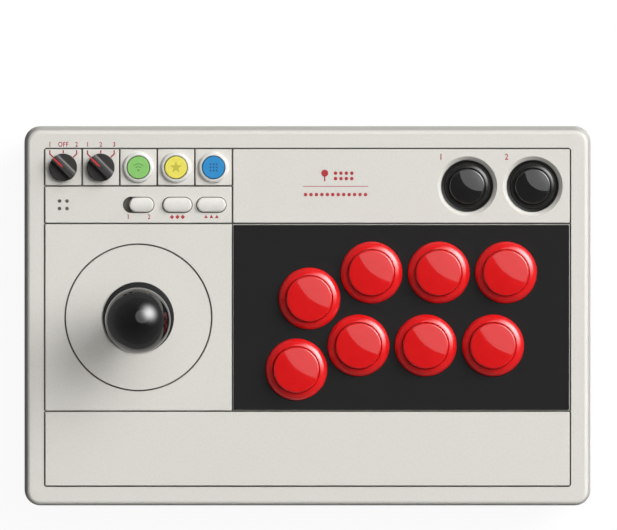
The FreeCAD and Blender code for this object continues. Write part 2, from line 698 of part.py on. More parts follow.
def lower_adds():
    """The lip, screw posts, board standoffs and ballast pegs of the lower shell."""
    inset = CASE_WALL + UPPER_DRAFT * LIP_HEIGHT / UPPER_HEIGHT + LIP_CLEAR
    low = PARTING_Z - LIP_ROOT
    rings = []
    for draw_in in (inset, inset + LIP_THICK):
        width, depth = CASE_WIDTH - 2 * draw_in, CASE_DEPTH - 2 * draw_in
        wire = rounded_rectangle(width, depth, CASE_CORNER - draw_in, low)
        rings.append(prism(wire, LIP_ROOT + LIP_HEIGHT))
    adds = [rings[0].cut(rings[1])]
    adds += [cylinder(POST_RADIUS, FOOT_HEIGHT, PARTING_Z, x, y) for x, y in post_places()]
    adds += [cylinder(BOARD_POST_RADIUS, FLOOR_Z, MAIN_BOARD_Z, x, y) for x, y in main_board_holes()]
    peg_top = FLOOR_Z + BALLAST_THICK + PEG_STAND
    adds += [cylinder(PEG_RADIUS, FLOOR_Z, peg_top, x, y) for x, y in ballast_holes()]
    return adds


def lower_openings():
    """Screw counterbores, foot recesses, board screw bores and the port's window in the back wall."""
    cuts = []
    seat = FOOT_HEIGHT + SCREW_SEAT_DEPTH
    for x, y in post_places():
        cuts.append(cylinder(SCREW_HEAD_RADIUS + SCREW_CLEAR, FOOT_HEIGHT, seat, x, y))
        cuts.append(cylinder(SCREW_RADIUS + SCREW_FIT, seat, PARTING_Z, x, y))
    length, width = FOOT_LENGTH + 2 * FOOT_CLEAR, FOOT_WIDTH + 2 * FOOT_CLEAR
    cuts += [prism(stadium(length, width, FOOT_HEIGHT, x, y), FOOT_RECESS) for x, y in foot_places()]
    bore = BOARD_SCREW_RADIUS + BOARD_SCREW_FIT
    cuts += [cylinder(bore, FLOOR_Z, MAIN_BOARD_Z, x, y) for x, y in main_board_holes()]
    outer = lower_half(CASE_DEPTH, PORT_Z)
    window = [(PORT_WIDTH + 2 * PORT_CLEAR, PORT_HEIGHT + 2 * PORT_CLEAR, 2 * CASE_WALL)]
    window.append((PORT_RECESS_WIDTH, PORT_RECESS_HEIGHT, PORT_RECESS_DEPTH))
    for wide, high, deep in window:
        reach = deep + LOWER_TAPER
        cuts.append(along_back(prism(stadium(wide, high, 0.0), reach), outer + LOWER_TAPER))
    return cuts


def along_back(solid, y_mouth):
    """Turns an upright solid to point back, with its foot at y_mouth and its axis on the port's."""
    solid.rotate(Vector(0, 0, 0), Vector(1, 0, 0), 90)
    solid.translate(Vector(PORT_X, y_mouth, PORT_Z))
    return solid


def rubber_feet():
    """Four slot-shaped rubber feet, set into the lower shell."""
    feet = []
    for x, y in foot_places():
        foot = prism(stadium(FOOT_LENGTH, FOOT_WIDTH, 0.0, x, y), FOOT_HEIGHT + FOOT_RECESS)
        feet.append(foot.makeChamfer(FOOT_CHAMFER, edges_at(foot, 0.0)))
    return Part.makeCompound(feet)


def case_screws():
    """Six screws from below, through the lower posts into the upper ones."""
    seat = FOOT_HEIGHT + SCREW_SEAT_DEPTH
    screws = []
    for x, y in post_places():
        head = cylinder(SCREW_HEAD_RADIUS, seat - SCREW_HEAD_HEIGHT, seat, x, y)
        screws.append(head.fuse(cylinder(SCREW_RADIUS, seat, PARTING_Z + SCREW_REACH, x, y)).removeSplitter())
    return Part.makeCompound(screws)


def button_panel():
    """Black sheet-steel panel with the button holes and its weld studs."""
    sheet = panel_outline(DECK_Z - PANEL_THICK, PANEL_THICK)
    sheet = sheet.makeFillet(PANEL_EDGE, edges_at(sheet, DECK_Z))
    low = DECK_Z - PANEL_THICK
    sheet = sheet.cut([cylinder(ACTION_HOLE_RADIUS, low, DECK_Z, x, y) for x, y in action_places().values()])
    studs = [cylinder(STUD_RADIUS, low - STUD_LENGTH, low, x, y) for x, y in stud_places()]
    return sheet.fuse(studs).removeSplitter()


def panel_nuts():
    """Hexagon nuts on the panel's studs, against the deck's underside."""
    nuts = []
    for x, y in stud_places():
        radius = NUT_FLATS / math.sqrt(3)
        turns = [k * math.pi / 3 for k in range(7)]
        points = [Vector(x + radius * math.cos(t), y + radius * math.sin(t), DECK_UNDER_Z) for t in turns]
        nut = prism(Part.makePolygon(points), -NUT_HEIGHT)
        bore = cylinder(STUD_RADIUS + SCREW_FIT, DECK_UNDER_Z - NUT_HEIGHT, DECK_UNDER_Z, x, y)
        nuts.append(nut.cut(bore))
    return Part.makeCompound(nuts)


SNAP_BUTTONS = {
    "action": {
        "seat_z": DECK_Z,
        "seat_thick": DECK_THICK,
        "barrel_radius": ACTION_HOLE_RADIUS - BARREL_CLEAR,
        "flange_radius": ACTION_FLANGE_RADIUS,
        "flange_edge": ACTION_FLANGE_EDGE,
        "crest_height": ACTION_CREST_HEIGHT,
        "shoulder": (ACTION_SHOULDER_RADIUS, ACTION_SHOULDER_HEIGHT),
        "plunger_radius": ACTION_PLUNGER_RADIUS,
        "plunger_height": ACTION_PLUNGER_HEIGHT,
        "dome": ACTION_DOME,
        "travel": ACTION_TRAVEL,
    },
    "player": {
        "seat_z": DECK_Z - RECESS_DEPTH,
        "seat_thick": RECESS_SEAT_THICK,
        "barrel_radius": PLAYER_HOLE_RADIUS - BARREL_CLEAR,
        "flange_radius": PLAYER_FLANGE_RADIUS,
        "flange_edge": PLAYER_FLANGE_EDGE,
        "crest_height": PLAYER_CREST_HEIGHT,
        "shoulder": (PLAYER_SHOULDER_RADIUS, PLAYER_SHOULDER_HEIGHT),
        "plunger_radius": PLAYER_PLUNGER_RADIUS,
        "plunger_height": PLAYER_PLUNGER_HEIGHT,
        "dome": PLAYER_DOME,
        "travel": PLAYER_TRAVEL,
    },
}
PLUNGER_LIP_TOP = -CHAMBER_STEP - PLUNGER_REST_GAP
STEM_END = PLUNGER_LIP_TOP - PLUNGER_LIP_HEIGHT - STEM_REACH


def button_housing(kind, x, y):
    """Snap-in housing: a rounded bezel flange, a barrel through the panel and two snap tabs under it."""
    s = SNAP_BUTTONS[kind]
    barrel = s["barrel_radius"]
    chamber = barrel - BARREL_WALL
    bore = s["plunger_radius"] + BORE_CLEAR
    crest, height = bore + CREST_CHAMFER, s["crest_height"]
    shoulder, shoulder_height = s["shoulder"]
    run, drop = shoulder - crest, height - shoulder_height
    slope = math.hypot(run, drop)
    bulge = (crest + run / 2 + BEZEL_BULGE * drop / slope, height - drop / 2 + BEZEL_BULGE * run / slope)
    outline = [
        (bore, height - CREST_CHAMFER),
        (crest, height),
        (bulge, (shoulder, shoulder_height)),
        (s["flange_radius"], s["flange_edge"]),
        (s["flange_radius"], 0.0),
        (barrel, 0.0),
        (barrel, -BARREL_DEPTH),
        (chamber, -BARREL_DEPTH),
        (chamber, -CHAMBER_STEP),
        (bore, -CHAMBER_STEP),
    ]
    housing = turned(outline, x, y, s["seat_z"])
    tab_top = -s["seat_thick"] - TAB_CLEAR
    root = barrel - TAB_ROOT
    wedge = [(root, tab_top), (barrel + TAB_DEPTH, tab_top), (root, tab_top - TAB_HEIGHT)]
    tabs = []
    for side in (0, 180):
        tab = turned(wedge, angle=TAB_ANGLE)
        tab.rotate(Vector(0, 0, 0), Vector(0, 0, 1), side - TAB_ANGLE / 2)
        tab.translate(Vector(x, y, s["seat_z"]))
        tabs.append(tab)
    return housing.fuse(tabs).removeSplitter()


def button_plunger(kind, x, y):
    """Domed plunger with a hollow skirt, a lip that stops it under the bore and a stem for the switch."""
    s = SNAP_BUTTONS[kind]
    radius, height = s["plunger_radius"], s["plunger_height"]
    rim = radius - PLUNGER_EDGE
    curve = (rim**2 + s["dome"] ** 2) / (2 * s["dome"])
    half_rim = rim / 2
    dome_middle = height + s["dome"] - curve + math.sqrt(curve**2 - half_rim**2)
    edge_middle = (rim + PLUNGER_EDGE * HALF, height - PLUNGER_EDGE * (1 - HALF))
    lip = s["barrel_radius"] - BARREL_WALL - PLUNGER_LIP
    lip_low = PLUNGER_LIP_TOP - PLUNGER_LIP_HEIGHT
    under = height - PLUNGER_WALL
    outline = [
        (0.0, height + s["dome"]),
        ((half_rim, dome_middle), (rim, height)),
        (edge_middle, (radius, height - PLUNGER_EDGE)),
        (radius, PLUNGER_LIP_TOP),
        (lip, PLUNGER_LIP_TOP),
        (lip, lip_low),
        (radius - PLUNGER_WALL, lip_low),
        (radius - PLUNGER_WALL, under),
        (STEM_RADIUS, under),
        (STEM_RADIUS, STEM_END),
        (0.0, STEM_END),
    ]
    return turned(outline, x, y, s["seat_z"])


def button_switches(kind, places):
    """Microswitches of one button size, each in a round holder that closes its barrel."""
    s = SNAP_BUTTONS[kind]
    barrel = s["barrel_radius"]
    chamber = barrel - BARREL_WALL - HOLDER_CLEAR
    top = STEM_END - s["travel"] - SWITCH_CLEAR
    switches = []
    for x, y in places:
        outline = [
            (0.0, HOLDER_THICK - BARREL_DEPTH),
            (chamber, HOLDER_THICK - BARREL_DEPTH),
            (chamber, -BARREL_DEPTH),
            (barrel, -BARREL_DEPTH),
            (barrel, -BARREL_DEPTH - HOLDER_RIM),
            (0.0, -BARREL_DEPTH - HOLDER_RIM),
        ]
        holder = turned(outline, x, y, s["seat_z"])
        low = s["seat_z"] + top - SWITCH_HEIGHT
        parts = [block(SWITCH_LENGTH, SWITCH_WIDTH, SWITCH_HEIGHT, x, y, low)]
        for side in (-1, 1):
            at = x + side * TERMINAL_PITCH / 2
            parts.append(block(TERMINAL_THICK, TERMINAL_WIDTH, TERMINAL_LENGTH, at, y, low - TERMINAL_LENGTH))
        switches.append(holder.fuse(parts).removeSplitter())
    return Part.makeCompound(switches)


def button_ring(x, y):
    """White raised ring round a colour button, pressed into the deck from above."""
    bore = CAP_RADIUS + CAP_CLEAR
    barrel = bore + RING_BARREL_WALL
    slope, rise = RING_FOOT_RADIUS - RING_TOP_RADIUS, RING_HEIGHT - RING_FOOT_HEIGHT
    bulge = (RING_TOP_RADIUS + slope * RING_BULGE, RING_FOOT_HEIGHT + rise * RING_BULGE)
    outline = [
        (bore, RING_HEIGHT),
        (RING_TOP_RADIUS, RING_HEIGHT),
        (bulge, (RING_FOOT_RADIUS, RING_FOOT_HEIGHT)),
        (RING_FOOT_RADIUS, 0.0),
        (barrel, 0.0),
        (barrel, -DECK_THICK - RING_FIT),
        (barrel + RING_SNAP, -DECK_THICK - RING_FIT),
        (barrel, -DECK_THICK - RING_FIT - RING_SNAP_HEIGHT),
        (bore, -DECK_THICK - RING_FIT - RING_SNAP_HEIGHT),
    ]
    return turned(outline, x, y, DECK_Z)


def cap_foot():
    """Height of a colour cap's lower face under the deck's top."""
    return -DECK_THICK - RING_FIT - RING_SNAP_HEIGHT - KEY_LIP_GAP - CAP_LIP_HEIGHT


def colour_cap(x, y):
    """Round colour cap with a lip under its ring."""
    lip = CAP_RADIUS + CAP_LIP
    edge_middle = (CAP_RADIUS - CAP_EDGE * (1 - HALF), CAP_HEIGHT - CAP_EDGE * (1 - HALF))
    outline = [
        (0.0, CAP_HEIGHT),
        (CAP_RADIUS - CAP_EDGE, CAP_HEIGHT),
        (edge_middle, (CAP_RADIUS, CAP_HEIGHT - CAP_EDGE)),
        (CAP_RADIUS, cap_foot() + CAP_LIP_HEIGHT),
        (lip, cap_foot() + CAP_LIP_HEIGHT),
        (lip, cap_foot()),
        (0.0, cap_foot()),
    ]
    return turned(outline, x, y, DECK_Z)


def key_foot():
    """Height of a key's lower face under the deck's top."""
    return -DECK_THICK - KEY_LIP_GAP - KEY_LIP_HEIGHT


def key(x, y):
    """Slot-shaped key with rounded upper edges and a lip under the deck."""
    low = DECK_Z + key_foot()
    crown = prism(stadium(KEY_LENGTH, KEY_WIDTH, low, x, y), KEY_HEIGHT - key_foot())
    crown = crown.makeFillet(KEY_EDGE, edges_at(crown, DECK_Z + KEY_HEIGHT))
    grow = 2 * (KEY_CLEAR + KEY_LIP)
    lip = prism(stadium(KEY_LENGTH + grow, KEY_WIDTH + grow, low, x, y), KEY_LIP_HEIGHT)
    return crown.fuse(lip).removeSplitter()


def mode_slider():
    """Sliding mode knob in its sunk slot, with a stem for the switch and a catch under the deck."""
    low = DECK_Z - SLIDER_SLOT_DEPTH + SLIDER_FLOOR_GAP
    knob = prism(stadium(SLIDER_LENGTH, KEY_WIDTH, low, SLIDER_X, KEY_ROW_Y), DECK_Z + KEY_HEIGHT - low)
    knob = knob.makeFillet(KEY_EDGE, edges_at(knob, DECK_Z + KEY_HEIGHT))
    tip = DECK_Z - SLIDE_SWITCH_DROP - SLIDE_SWITCH_SLOT_DEPTH + SLIDE_SWITCH_CLEAR
    stem = cylinder(SLIDER_STEM_RADIUS, tip, low, SLIDER_X, KEY_ROW_Y)
    catch_top = DECK_UNDER_Z - SLIDER_FLOOR_GAP
    catch_radius = SLIDER_STEM_RADIUS + SLIDER_CATCH
    catch = cylinder(catch_radius, catch_top - SLIDER_CATCH_HEIGHT, catch_top, SLIDER_X, KEY_ROW_Y)
    return knob.fuse([stem, catch]).removeSplitter()


def status_lights():
    """Four small light pipes, flanged under the deck."""
    pipes = []
    for x, y in light_places():
        outline = [
            (0.0, -LIGHT_SINK),
            (LIGHT_RADIUS, -LIGHT_SINK),
            (LIGHT_RADIUS, -DECK_THICK),
            (LIGHT_RADIUS + LIGHT_FLANGE, -DECK_THICK),
            (LIGHT_RADIUS + LIGHT_FLANGE, -DECK_THICK - LIGHT_FLANGE_HEIGHT),
            (0.0, -DECK_THICK - LIGHT_FLANGE_HEIGHT),
        ]
        pipes.append(turned(outline, x, y, DECK_Z))
    return Part.makeCompound(pipes)


def dial(x, y):
    """Rotary knob: a low disc, a tapered grip bar with a flared foot and a pointer groove, and its shaft."""
    low = DIAL_GAP
    disc = [
        (0.0, low),
        (DIAL_RADIUS, low),
        (DIAL_RADIUS, DIAL_DISC_HEIGHT - DIAL_DISC_CHAMFER),
        (DIAL_RADIUS - DIAL_DISC_CHAMFER, DIAL_DISC_HEIGHT),
        (0.0, DIAL_DISC_HEIGHT),
    ]
    high = DIAL_DISC_HEIGHT + DIAL_BAR_HEIGHT
    flank = [
        (DIAL_BAR_FOOT / 2, low),
        (DIAL_BAR_FOOT / 2, DIAL_DISC_HEIGHT),
        (DIAL_BAR_WAIST / 2, DIAL_DISC_HEIGHT + DIAL_FOOT_RISE),
        (DIAL_BAR_TOP / 2, high),
    ]
    section = flank + [(-across, up) for across, up in reversed(flank)] + flank[:1]
    end = Part.makePolygon([Vector(-DIAL_RADIUS, across, up) for across, up in section])
    bar = Part.Face(end).extrude(Vector(2 * DIAL_RADIUS, 0, 0))
    bar = bar.common(cylinder(DIAL_RADIUS, low, high))
    bar = bar.makeFillet(DIAL_BAR_EDGE, edges_at(bar, high))
    length, depth = DIAL_POINTER_LENGTH, DIAL_POINTER_DEPTH
    groove = block(length, DIAL_POINTER_WIDTH, depth, DIAL_RADIUS - length / 2, 0, high - depth)
    knob = turned(disc).fuse(bar).cut(groove)
    shaft = cylinder(DIAL_SHAFT_RADIUS, SHAFT_TIP_GAP - CONTROL_BOARD_DROP, low)
    knob = knob.fuse(shaft).removeSplitter()
    knob.rotate(Vector(0, 0, 0), Vector(0, 0, 1), DIAL_POINTER_ANGLE)
    knob.translate(Vector(x, y, DECK_Z))
    return knob


def tact_switch(x, y, nub_top):
    """Tact switch on the control board, with its nub up to a height under the deck's top."""
    low = CONTROL_BOARD_Z - BOARD_THICK
    body_top = DECK_Z + nub_top - TACT_NUB_HEIGHT
    body = block(TACT_SIDE, TACT_SIDE, body_top - low, x, y, low)
    return body.fuse(cylinder(TACT_NUB_RADIUS, body_top, DECK_Z + nub_top, x, y))


def control_board():
    """Control board with its soldered tact switches, slide switch and two rotary switches."""
    left, right, front, back = control_board_box()
    low = CONTROL_BOARD_Z - BOARD_THICK
    board = Part.makeBox(right - left, back - front, BOARD_THICK, Vector(left, front, low))
    parts = [tact_switch(x, y, cap_foot() - CAP_TRAVEL - TACT_GAP) for x, y in CAP_PLACES.values()]
    parts += [tact_switch(x, y, key_foot() - KEY_TRAVEL - TACT_GAP) for x, y in KEY_PLACES.values()]
    rotary_top = DECK_Z - ROTARY_DROP
    parts += [block(ROTARY_SIDE, ROTARY_SIDE, rotary_top - low, x, y, low) for x, y in DIAL_PLACES.values()]
    slide_top = DECK_Z - SLIDE_SWITCH_DROP
    parts.append(block(SLIDE_SWITCH_LENGTH, SLIDE_SWITCH_WIDTH, slide_top - low, SLOT_X, KEY_ROW_Y, low))
    cuts = [prism(stem_slot(slide_top - SLIDE_SWITCH_SLOT_DEPTH), SLIDE_SWITCH_SLOT_DEPTH)]
    bore = DIAL_SHAFT_RADIUS + ROTARY_FIT
    cuts += [cylinder(bore, CONTROL_BOARD_Z, rotary_top, x, y) for x, y in DIAL_PLACES.values()]
    bore = BOARD_SCREW_RADIUS + BOARD_SCREW_FIT
    cuts += [cylinder(bore, low, CONTROL_BOARD_Z, x, y) for x, y in control_board_posts()]
    post_x, post_y = post_places()[0]
    cuts.append(cylinder(POST_RADIUS + SCREW_CLEAR, low, CONTROL_BOARD_Z, post_x, post_y))
    return board.fuse(parts).cut(cuts).removeSplitter()


def main_board_holes():
    """Centres of the main board's four screws."""
    half_x, half_y = MAIN_BOARD_WIDTH / 2 - BOARD_POST_INSET, MAIN_BOARD_DEPTH / 2 - BOARD_POST_INSET
    return corners(MAIN_BOARD_X, main_board_centre_y(), half_x, half_y)


def main_board():
    """Main board with its controller chip and the header that the button leads plug into."""
    y = main_board_centre_y()
    top = MAIN_BOARD_Z + BOARD_THICK
    board = block(MAIN_BOARD_WIDTH, MAIN_BOARD_DEPTH, BOARD_THICK, MAIN_BOARD_X, y, MAIN_BOARD_Z)
    chip = block(CHIP_SIDE, CHIP_SIDE, CHIP_HEIGHT, MAIN_BOARD_X, y, top)
    header_y = y - MAIN_BOARD_DEPTH / 2 + HEADER_WIDTH
    header = block(HEADER_LENGTH, HEADER_WIDTH, HEADER_HEIGHT, MAIN_BOARD_X, header_y, top)
    bore = BOARD_SCREW_RADIUS + BOARD_SCREW_FIT
    holes = [cylinder(bore, MAIN_BOARD_Z, top, px, py) for px, py in main_board_holes()]
    return board.fuse([chip, header]).cut(holes).removeSplitter()


def board_screws():
    """Small screws of both boards: down into the main board's standoffs, up into the deck's posts."""
    screws = []
    seats = [(x, y, MAIN_BOARD_Z + BOARD_THICK, 1) for x, y in main_board_holes()]
    seats += [(x, y, CONTROL_BOARD_Z - BOARD_THICK, -1) for x, y in control_board_posts()]
    for x, y, seat, up in seats:
        at, out = Vector(x, y, seat), Vector(0, 0, up)
        head = Part.makeCylinder(BOARD_SCREW_HEAD_RADIUS, BOARD_SCREW_HEAD_HEIGHT, at, out)
        shank = Part.makeCylinder(BOARD_SCREW_RADIUS, BOARD_SCREW_LENGTH, at, -out)
        screws.append(head.fuse(shank).removeSplitter())
    return Part.makeCompound(screws)


def charging_port():
    """Charging socket: a drawn shell on the main board, open to the back, with its contact tongue."""
    shell = prism(stadium(PORT_WIDTH, PORT_HEIGHT, 0.0), PORT_DEPTH)
    mouth = stadium(PORT_WIDTH - 2 * PORT_WALL, PORT_HEIGHT - 2 * PORT_WALL, 0.0)
    shell = shell.cut(prism(mouth, PORT_DEPTH - PORT_BACK))
    reach = PORT_DEPTH - PORT_BACK - PORT_TONGUE_LENGTH
    tongue = block(PORT_TONGUE_WIDTH, PORT_TONGUE_THICK, PORT_TONGUE_LENGTH, 0.0, 0.0, reach)
    mouth_y = lower_half(CASE_DEPTH, PORT_Z) - PORT_RECESS_DEPTH
    return along_back(shell.fuse(tongue).removeSplitter(), mouth_y)


def battery_pack():
    """Wrapped rechargeable cell on the lower shell's floor."""
    cell = block(BATTERY_LENGTH, BATTERY_WIDTH, BATTERY_HEIGHT, BATTERY_X, BATTERY_Y, FLOOR_Z)
    long_edges = [e for e in cell.Edges if abs(e.BoundBox.XLength - BATTERY_LENGTH) < 1e-6]
    return cell.makeFillet(BATTERY_EDGE, long_edges)


def ballast_holes():
    """Centres of the pegs that hold the ballast plate."""
    return corners(BALLAST_X, BALLAST_Y, BALLAST_LENGTH / 2 - PEG_INSET, BALLAST_WIDTH / 2 - PEG_INSET)


def ballast_plate():
    """Steel plate on the floor of the lower shell that gives the stick its weight."""
    wire = rounded_rectangle(BALLAST_LENGTH, BALLAST_WIDTH, BALLAST_CORNER, FLOOR_Z, BALLAST_X, BALLAST_Y)
    top = FLOOR_Z + BALLAST_THICK
    holes = [cylinder(PEG_RADIUS + PEG_CLEAR, FLOOR_Z, top, x, y) for x, y in ballast_holes()]
    return prism(wire, BALLAST_THICK).cut(holes)


def stick_plate_holes():
    """Centres of the screws that hold the lever's plate to the deck."""
    inset = STICK_PLATE_HOLE_INSET
    return corners(LEVER_X, LEVER_Y, STICK_PLATE_LENGTH / 2 - inset, STICK_PLATE_WIDTH / 2 - inset)


def stick_bolt_places():
    """Centres of the long bolts through gate, switch board and housing."""
    half_x, half_y = HOUSING_LENGTH / 2 - STICK_BOLT_INSET, HOUSING_WIDTH / 2 - STICK_BOLT_INSET
    return corners(LEVER_X, LEVER_Y, half_x, half_y)


def stick_plate():
    """Steel mounting plate of the lever, with two keepers that hold the rocker's trunnions down."""
    low = HOUSING_TOP_Z
    wire = rounded_rectangle(STICK_PLATE_LENGTH, STICK_PLATE_WIDTH, STICK_PLATE_CORNER, low, LEVER_X, LEVER_Y)
    plate = prism(wire, STICK_PLATE_THICK)
    foot = PIVOT_Z + TRUNNION_RADIUS + KEEPER_CLEAR
    width = 2 * (TRUNNION_RADIUS - KEEPER_CLEAR)
    reach = ROCKER_LENGTH / 2 + TRUNNION_LENGTH - KEEPER_LENGTH / 2
    keepers = [block(KEEPER_LENGTH, width, low - foot, LEVER_X + s * reach, LEVER_Y, foot) for s in (-1, 1)]
    cuts = [cylinder(STICK_PLATE_BORE_RADIUS, low, PLATE_TOP_Z, LEVER_X, LEVER_Y)]
    bore = STICK_BOLT_RADIUS + STICK_BOLT_CLEAR
    cuts += [cylinder(bore, low, PLATE_TOP_Z, x, y) for x, y in stick_plate_holes()]
    bore = STICK_BOLT_RADIUS + SCREW_FIT
    cuts += [cylinder(bore, low, PLATE_TOP_Z, x, y) for x, y in stick_bolt_places()]
    return plate.cut(cuts).fuse(keepers).removeSplitter()


def rocker_swing():
    """Radius that the rocker's lower and upper edges sweep about its trunnions."""
    return math.hypot(ROCKER_WIDTH / 2, ROCKER_HEIGHT / 2)


def stick_housing():
    """Moulded lever housing: a well for the rocker between two open saddles for its trunnions."""
    low = HOUSING_BOTTOM_Z
    wire = rounded_rectangle(HOUSING_LENGTH, HOUSING_WIDTH, HOUSING_CORNER, low, LEVER_X, LEVER_Y)
    body = prism(wire, HOUSING_HEIGHT)
    well_length = ROCKER_LENGTH + 2 * HOUSING_END_CLEAR
    well_width = 2 * (rocker_swing() + HOUSING_SWING_CLEAR)
    cuts = [block(well_length, well_width, HOUSING_HEIGHT, LEVER_X, LEVER_Y, low)]
    saddle = TRUNNION_RADIUS + TRUNNION_FIT
    span = ROCKER_LENGTH + 2 * (TRUNNION_LENGTH + HOUSING_END_CLEAR)
    start = Vector(LEVER_X - span / 2, LEVER_Y, PIVOT_Z)
    cuts.append(Part.makeCylinder(saddle, span, start, Vector(1, 0, 0)))
    cuts.append(block(span, 2 * saddle, HOUSING_TOP_Z - PIVOT_Z, LEVER_X, LEVER_Y, PIVOT_Z))
    bore = STICK_BOLT_RADIUS + STICK_BOLT_CLEAR
    cuts += [cylinder(bore, low, HOUSING_TOP_Z, x, y) for x, y in stick_bolt_places()]
    return body.cut(cuts).removeSplitter()


def pivot_rocker():
    """Rocker of the lever's pivot: it rolls on two trunnions and carries the shaft on a cross pin."""
    low = PIVOT_Z - ROCKER_HEIGHT / 2
    body = block(ROCKER_LENGTH, ROCKER_WIDTH, ROCKER_HEIGHT, LEVER_X, LEVER_Y, low)
    body = body.makeChamfer(ROCKER_EDGE, [e for e in body.Edges if e.BoundBox.ZLength > ROCKER_EDGE])
    span = ROCKER_LENGTH + 2 * TRUNNION_LENGTH
    start = Vector(LEVER_X - span / 2, LEVER_Y, PIVOT_Z)
    trunnions = Part.makeCylinder(TRUNNION_RADIUS, span, start, Vector(1, 0, 0))
    sweep = ROCKER_HEIGHT / 2 * math.tan(TILT) + SHAFT_RADIUS / math.cos(TILT) + ROCKER_SLOT_CLEAR
    slot = block(2 * sweep, 2 * (SHAFT_RADIUS + ROCKER_SLOT_CLEAR), ROCKER_HEIGHT, LEVER_X, LEVER_Y, low)
    return body.fuse(trunnions).cut([slot, pin_solid(PIVOT_PIN_RADIUS + PIVOT_PIN_FIT)]).removeSplitter()


def pin_solid(radius):
    """Cylinder along the cross pin's axis, as long as the rocker is wide."""
    start = Vector(LEVER_X, LEVER_Y - ROCKER_WIDTH / 2, PIVOT_Z)
    return Part.makeCylinder(radius, ROCKER_WIDTH, start, Vector(0, 1, 0))


def pivot_pin():
    """Steel cross pin that the lever's shaft rocks on."""
    return pin_solid(PIVOT_PIN_RADIUS)


def lever_shaft():
    """Turned steel shaft: threaded stub for the ball, plain stem, spring collar and a grooved tail."""
    groove = SHAFT_TAIL_RADIUS - CLIP_GROOVE
    stub_top = BALL_FLAT_Z + BALL_BORE_DEPTH - SHAFT_TIP_GAP
    outline = [
        (0.0, stub_top),
        (SHAFT_STUB_RADIUS, stub_top),
        (SHAFT_STUB_RADIUS, BALL_FLAT_Z),
        (SHAFT_RADIUS, BALL_FLAT_Z),
        (SHAFT_RADIUS, COLLAR_BOTTOM_Z + COLLAR_THICK),
        (COLLAR_RADIUS, COLLAR_BOTTOM_Z + COLLAR_THICK),
        (COLLAR_RADIUS, COLLAR_BOTTOM_Z),
        (SHAFT_TAIL_RADIUS, COLLAR_BOTTOM_Z),
        (SHAFT_TAIL_RADIUS, ACTUATOR_BOTTOM_Z),
        (groove, ACTUATOR_BOTTOM_Z),
        (groove, CLIP_BOTTOM_Z),
        (SHAFT_TAIL_RADIUS, CLIP_BOTTOM_Z),
        (SHAFT_TAIL_RADIUS, SHAFT_END_Z),
        (0.0, SHAFT_END_Z),
    ]
    return turned(outline, LEVER_X, LEVER_Y).cut(pin_solid(PIVOT_PIN_RADIUS + PIVOT_PIN_FIT))


def ball_top():
    """Ball grip, flat underneath, bored for the shaft's stub."""
    ball = Part.makeSphere(BALL_RADIUS, Vector(LEVER_X, LEVER_Y, BALL_CENTRE_Z))
    side = 2 * BALL_RADIUS
    below = block(side, side, side, LEVER_X, LEVER_Y, BALL_FLAT_Z - side)
    bore_top = BALL_FLAT_Z + BALL_BORE_DEPTH
    bore = cylinder(SHAFT_STUB_RADIUS + SHAFT_FIT, BALL_FLAT_Z, bore_top, LEVER_X, LEVER_Y)
    return ball.cut([below, bore]).removeSplitter()


def shaft_sleeve():
    """Black plastic sleeve over the shaft, from the ball down through the deck."""
    tube = cylinder(SLEEVE_RADIUS, DECK_Z - SLEEVE_TAIL, BALL_FLAT_Z, LEVER_X, LEVER_Y)
    return tube.cut(cylinder(SHAFT_RADIUS + SHAFT_FIT, DECK_Z - SLEEVE_TAIL, BALL_FLAT_Z, LEVER_X, LEVER_Y))


def dust_washer():
    """Loose dust washer on the deck; its hole is a slot across, in which the lever tilts left and right."""
    disc = cylinder(WASHER_RADIUS, DECK_Z, DECK_Z + WASHER_THICK, LEVER_X, LEVER_Y)
    disc = disc.makeChamfer(WASHER_CHAMFER, edges_at(disc, DECK_Z + WASHER_THICK))
    half_width = SLEEVE_RADIUS / math.cos(TILT) + WASHER_CLEAR
    throw = (WASHER_HEIGHT + WASHER_THICK / 2) * math.tan(TILT) / math.cos(TILT)
    slot = stadium(2 * (half_width + throw), 2 * half_width, DECK_Z, LEVER_X, LEVER_Y)
    return disc.cut(prism(slot, WASHER_THICK))


def lever_spring():
    """Centring spring between the shaft's collar and the actuator."""
    low = ACTUATOR_TOP_Z + SPRING_WIRE + SPRING_SEAT_GAP
    height = SPRING_LENGTH - 2 * (SPRING_WIRE + SPRING_SEAT_GAP)
    helix = Part.makeHelix(height / SPRING_TURNS, height, SPRING_RADIUS)
    wire = Part.Wire(Part.makeCircle(SPRING_WIRE, Vector(SPRING_RADIUS, 0, 0), Vector(0, 1, 0)))
    coil = Part.Wire(helix).makePipeShell([wire], True, True)
    coil.translate(Vector(LEVER_X, LEVER_Y, low))
    return coil


def lever_actuator():
    """Plastic collar on the shaft's tail that pushes the switches."""
    radius, chamfer = ACTUATOR_RADIUS, ACTUATOR_CHAMFER
    outline = [
        (SHAFT_TAIL_RADIUS + SHAFT_FIT, ACTUATOR_TOP_Z),
        (radius - chamfer, ACTUATOR_TOP_Z),
        (radius, ACTUATOR_TOP_Z - chamfer),
        (radius, ACTUATOR_BOTTOM_Z + chamfer),
        (radius - chamfer, ACTUATOR_BOTTOM_Z),
        (SHAFT_TAIL_RADIUS + SHAFT_FIT, ACTUATOR_BOTTOM_Z),
    ]
    return turned(outline, LEVER_X, LEVER_Y)


def lever_clip():
    """E-clip in the shaft's groove that holds the actuator on."""
    clip = cylinder(CLIP_RADIUS, CLIP_BOTTOM_Z, ACTUATOR_BOTTOM_Z, LEVER_X, LEVER_Y)
    bore = SHAFT_TAIL_RADIUS - CLIP_GROOVE + SHAFT_FIT
    hole = cylinder(bore, CLIP_BOTTOM_Z, ACTUATOR_BOTTOM_Z, LEVER_X, LEVER_Y)
    mouth = block(CLIP_RADIUS, CLIP_MOUTH, CLIP_THICK, LEVER_X + CLIP_RADIUS / 2, LEVER_Y, CLIP_BOTTOM_Z)
    return clip.cut([hole, mouth])


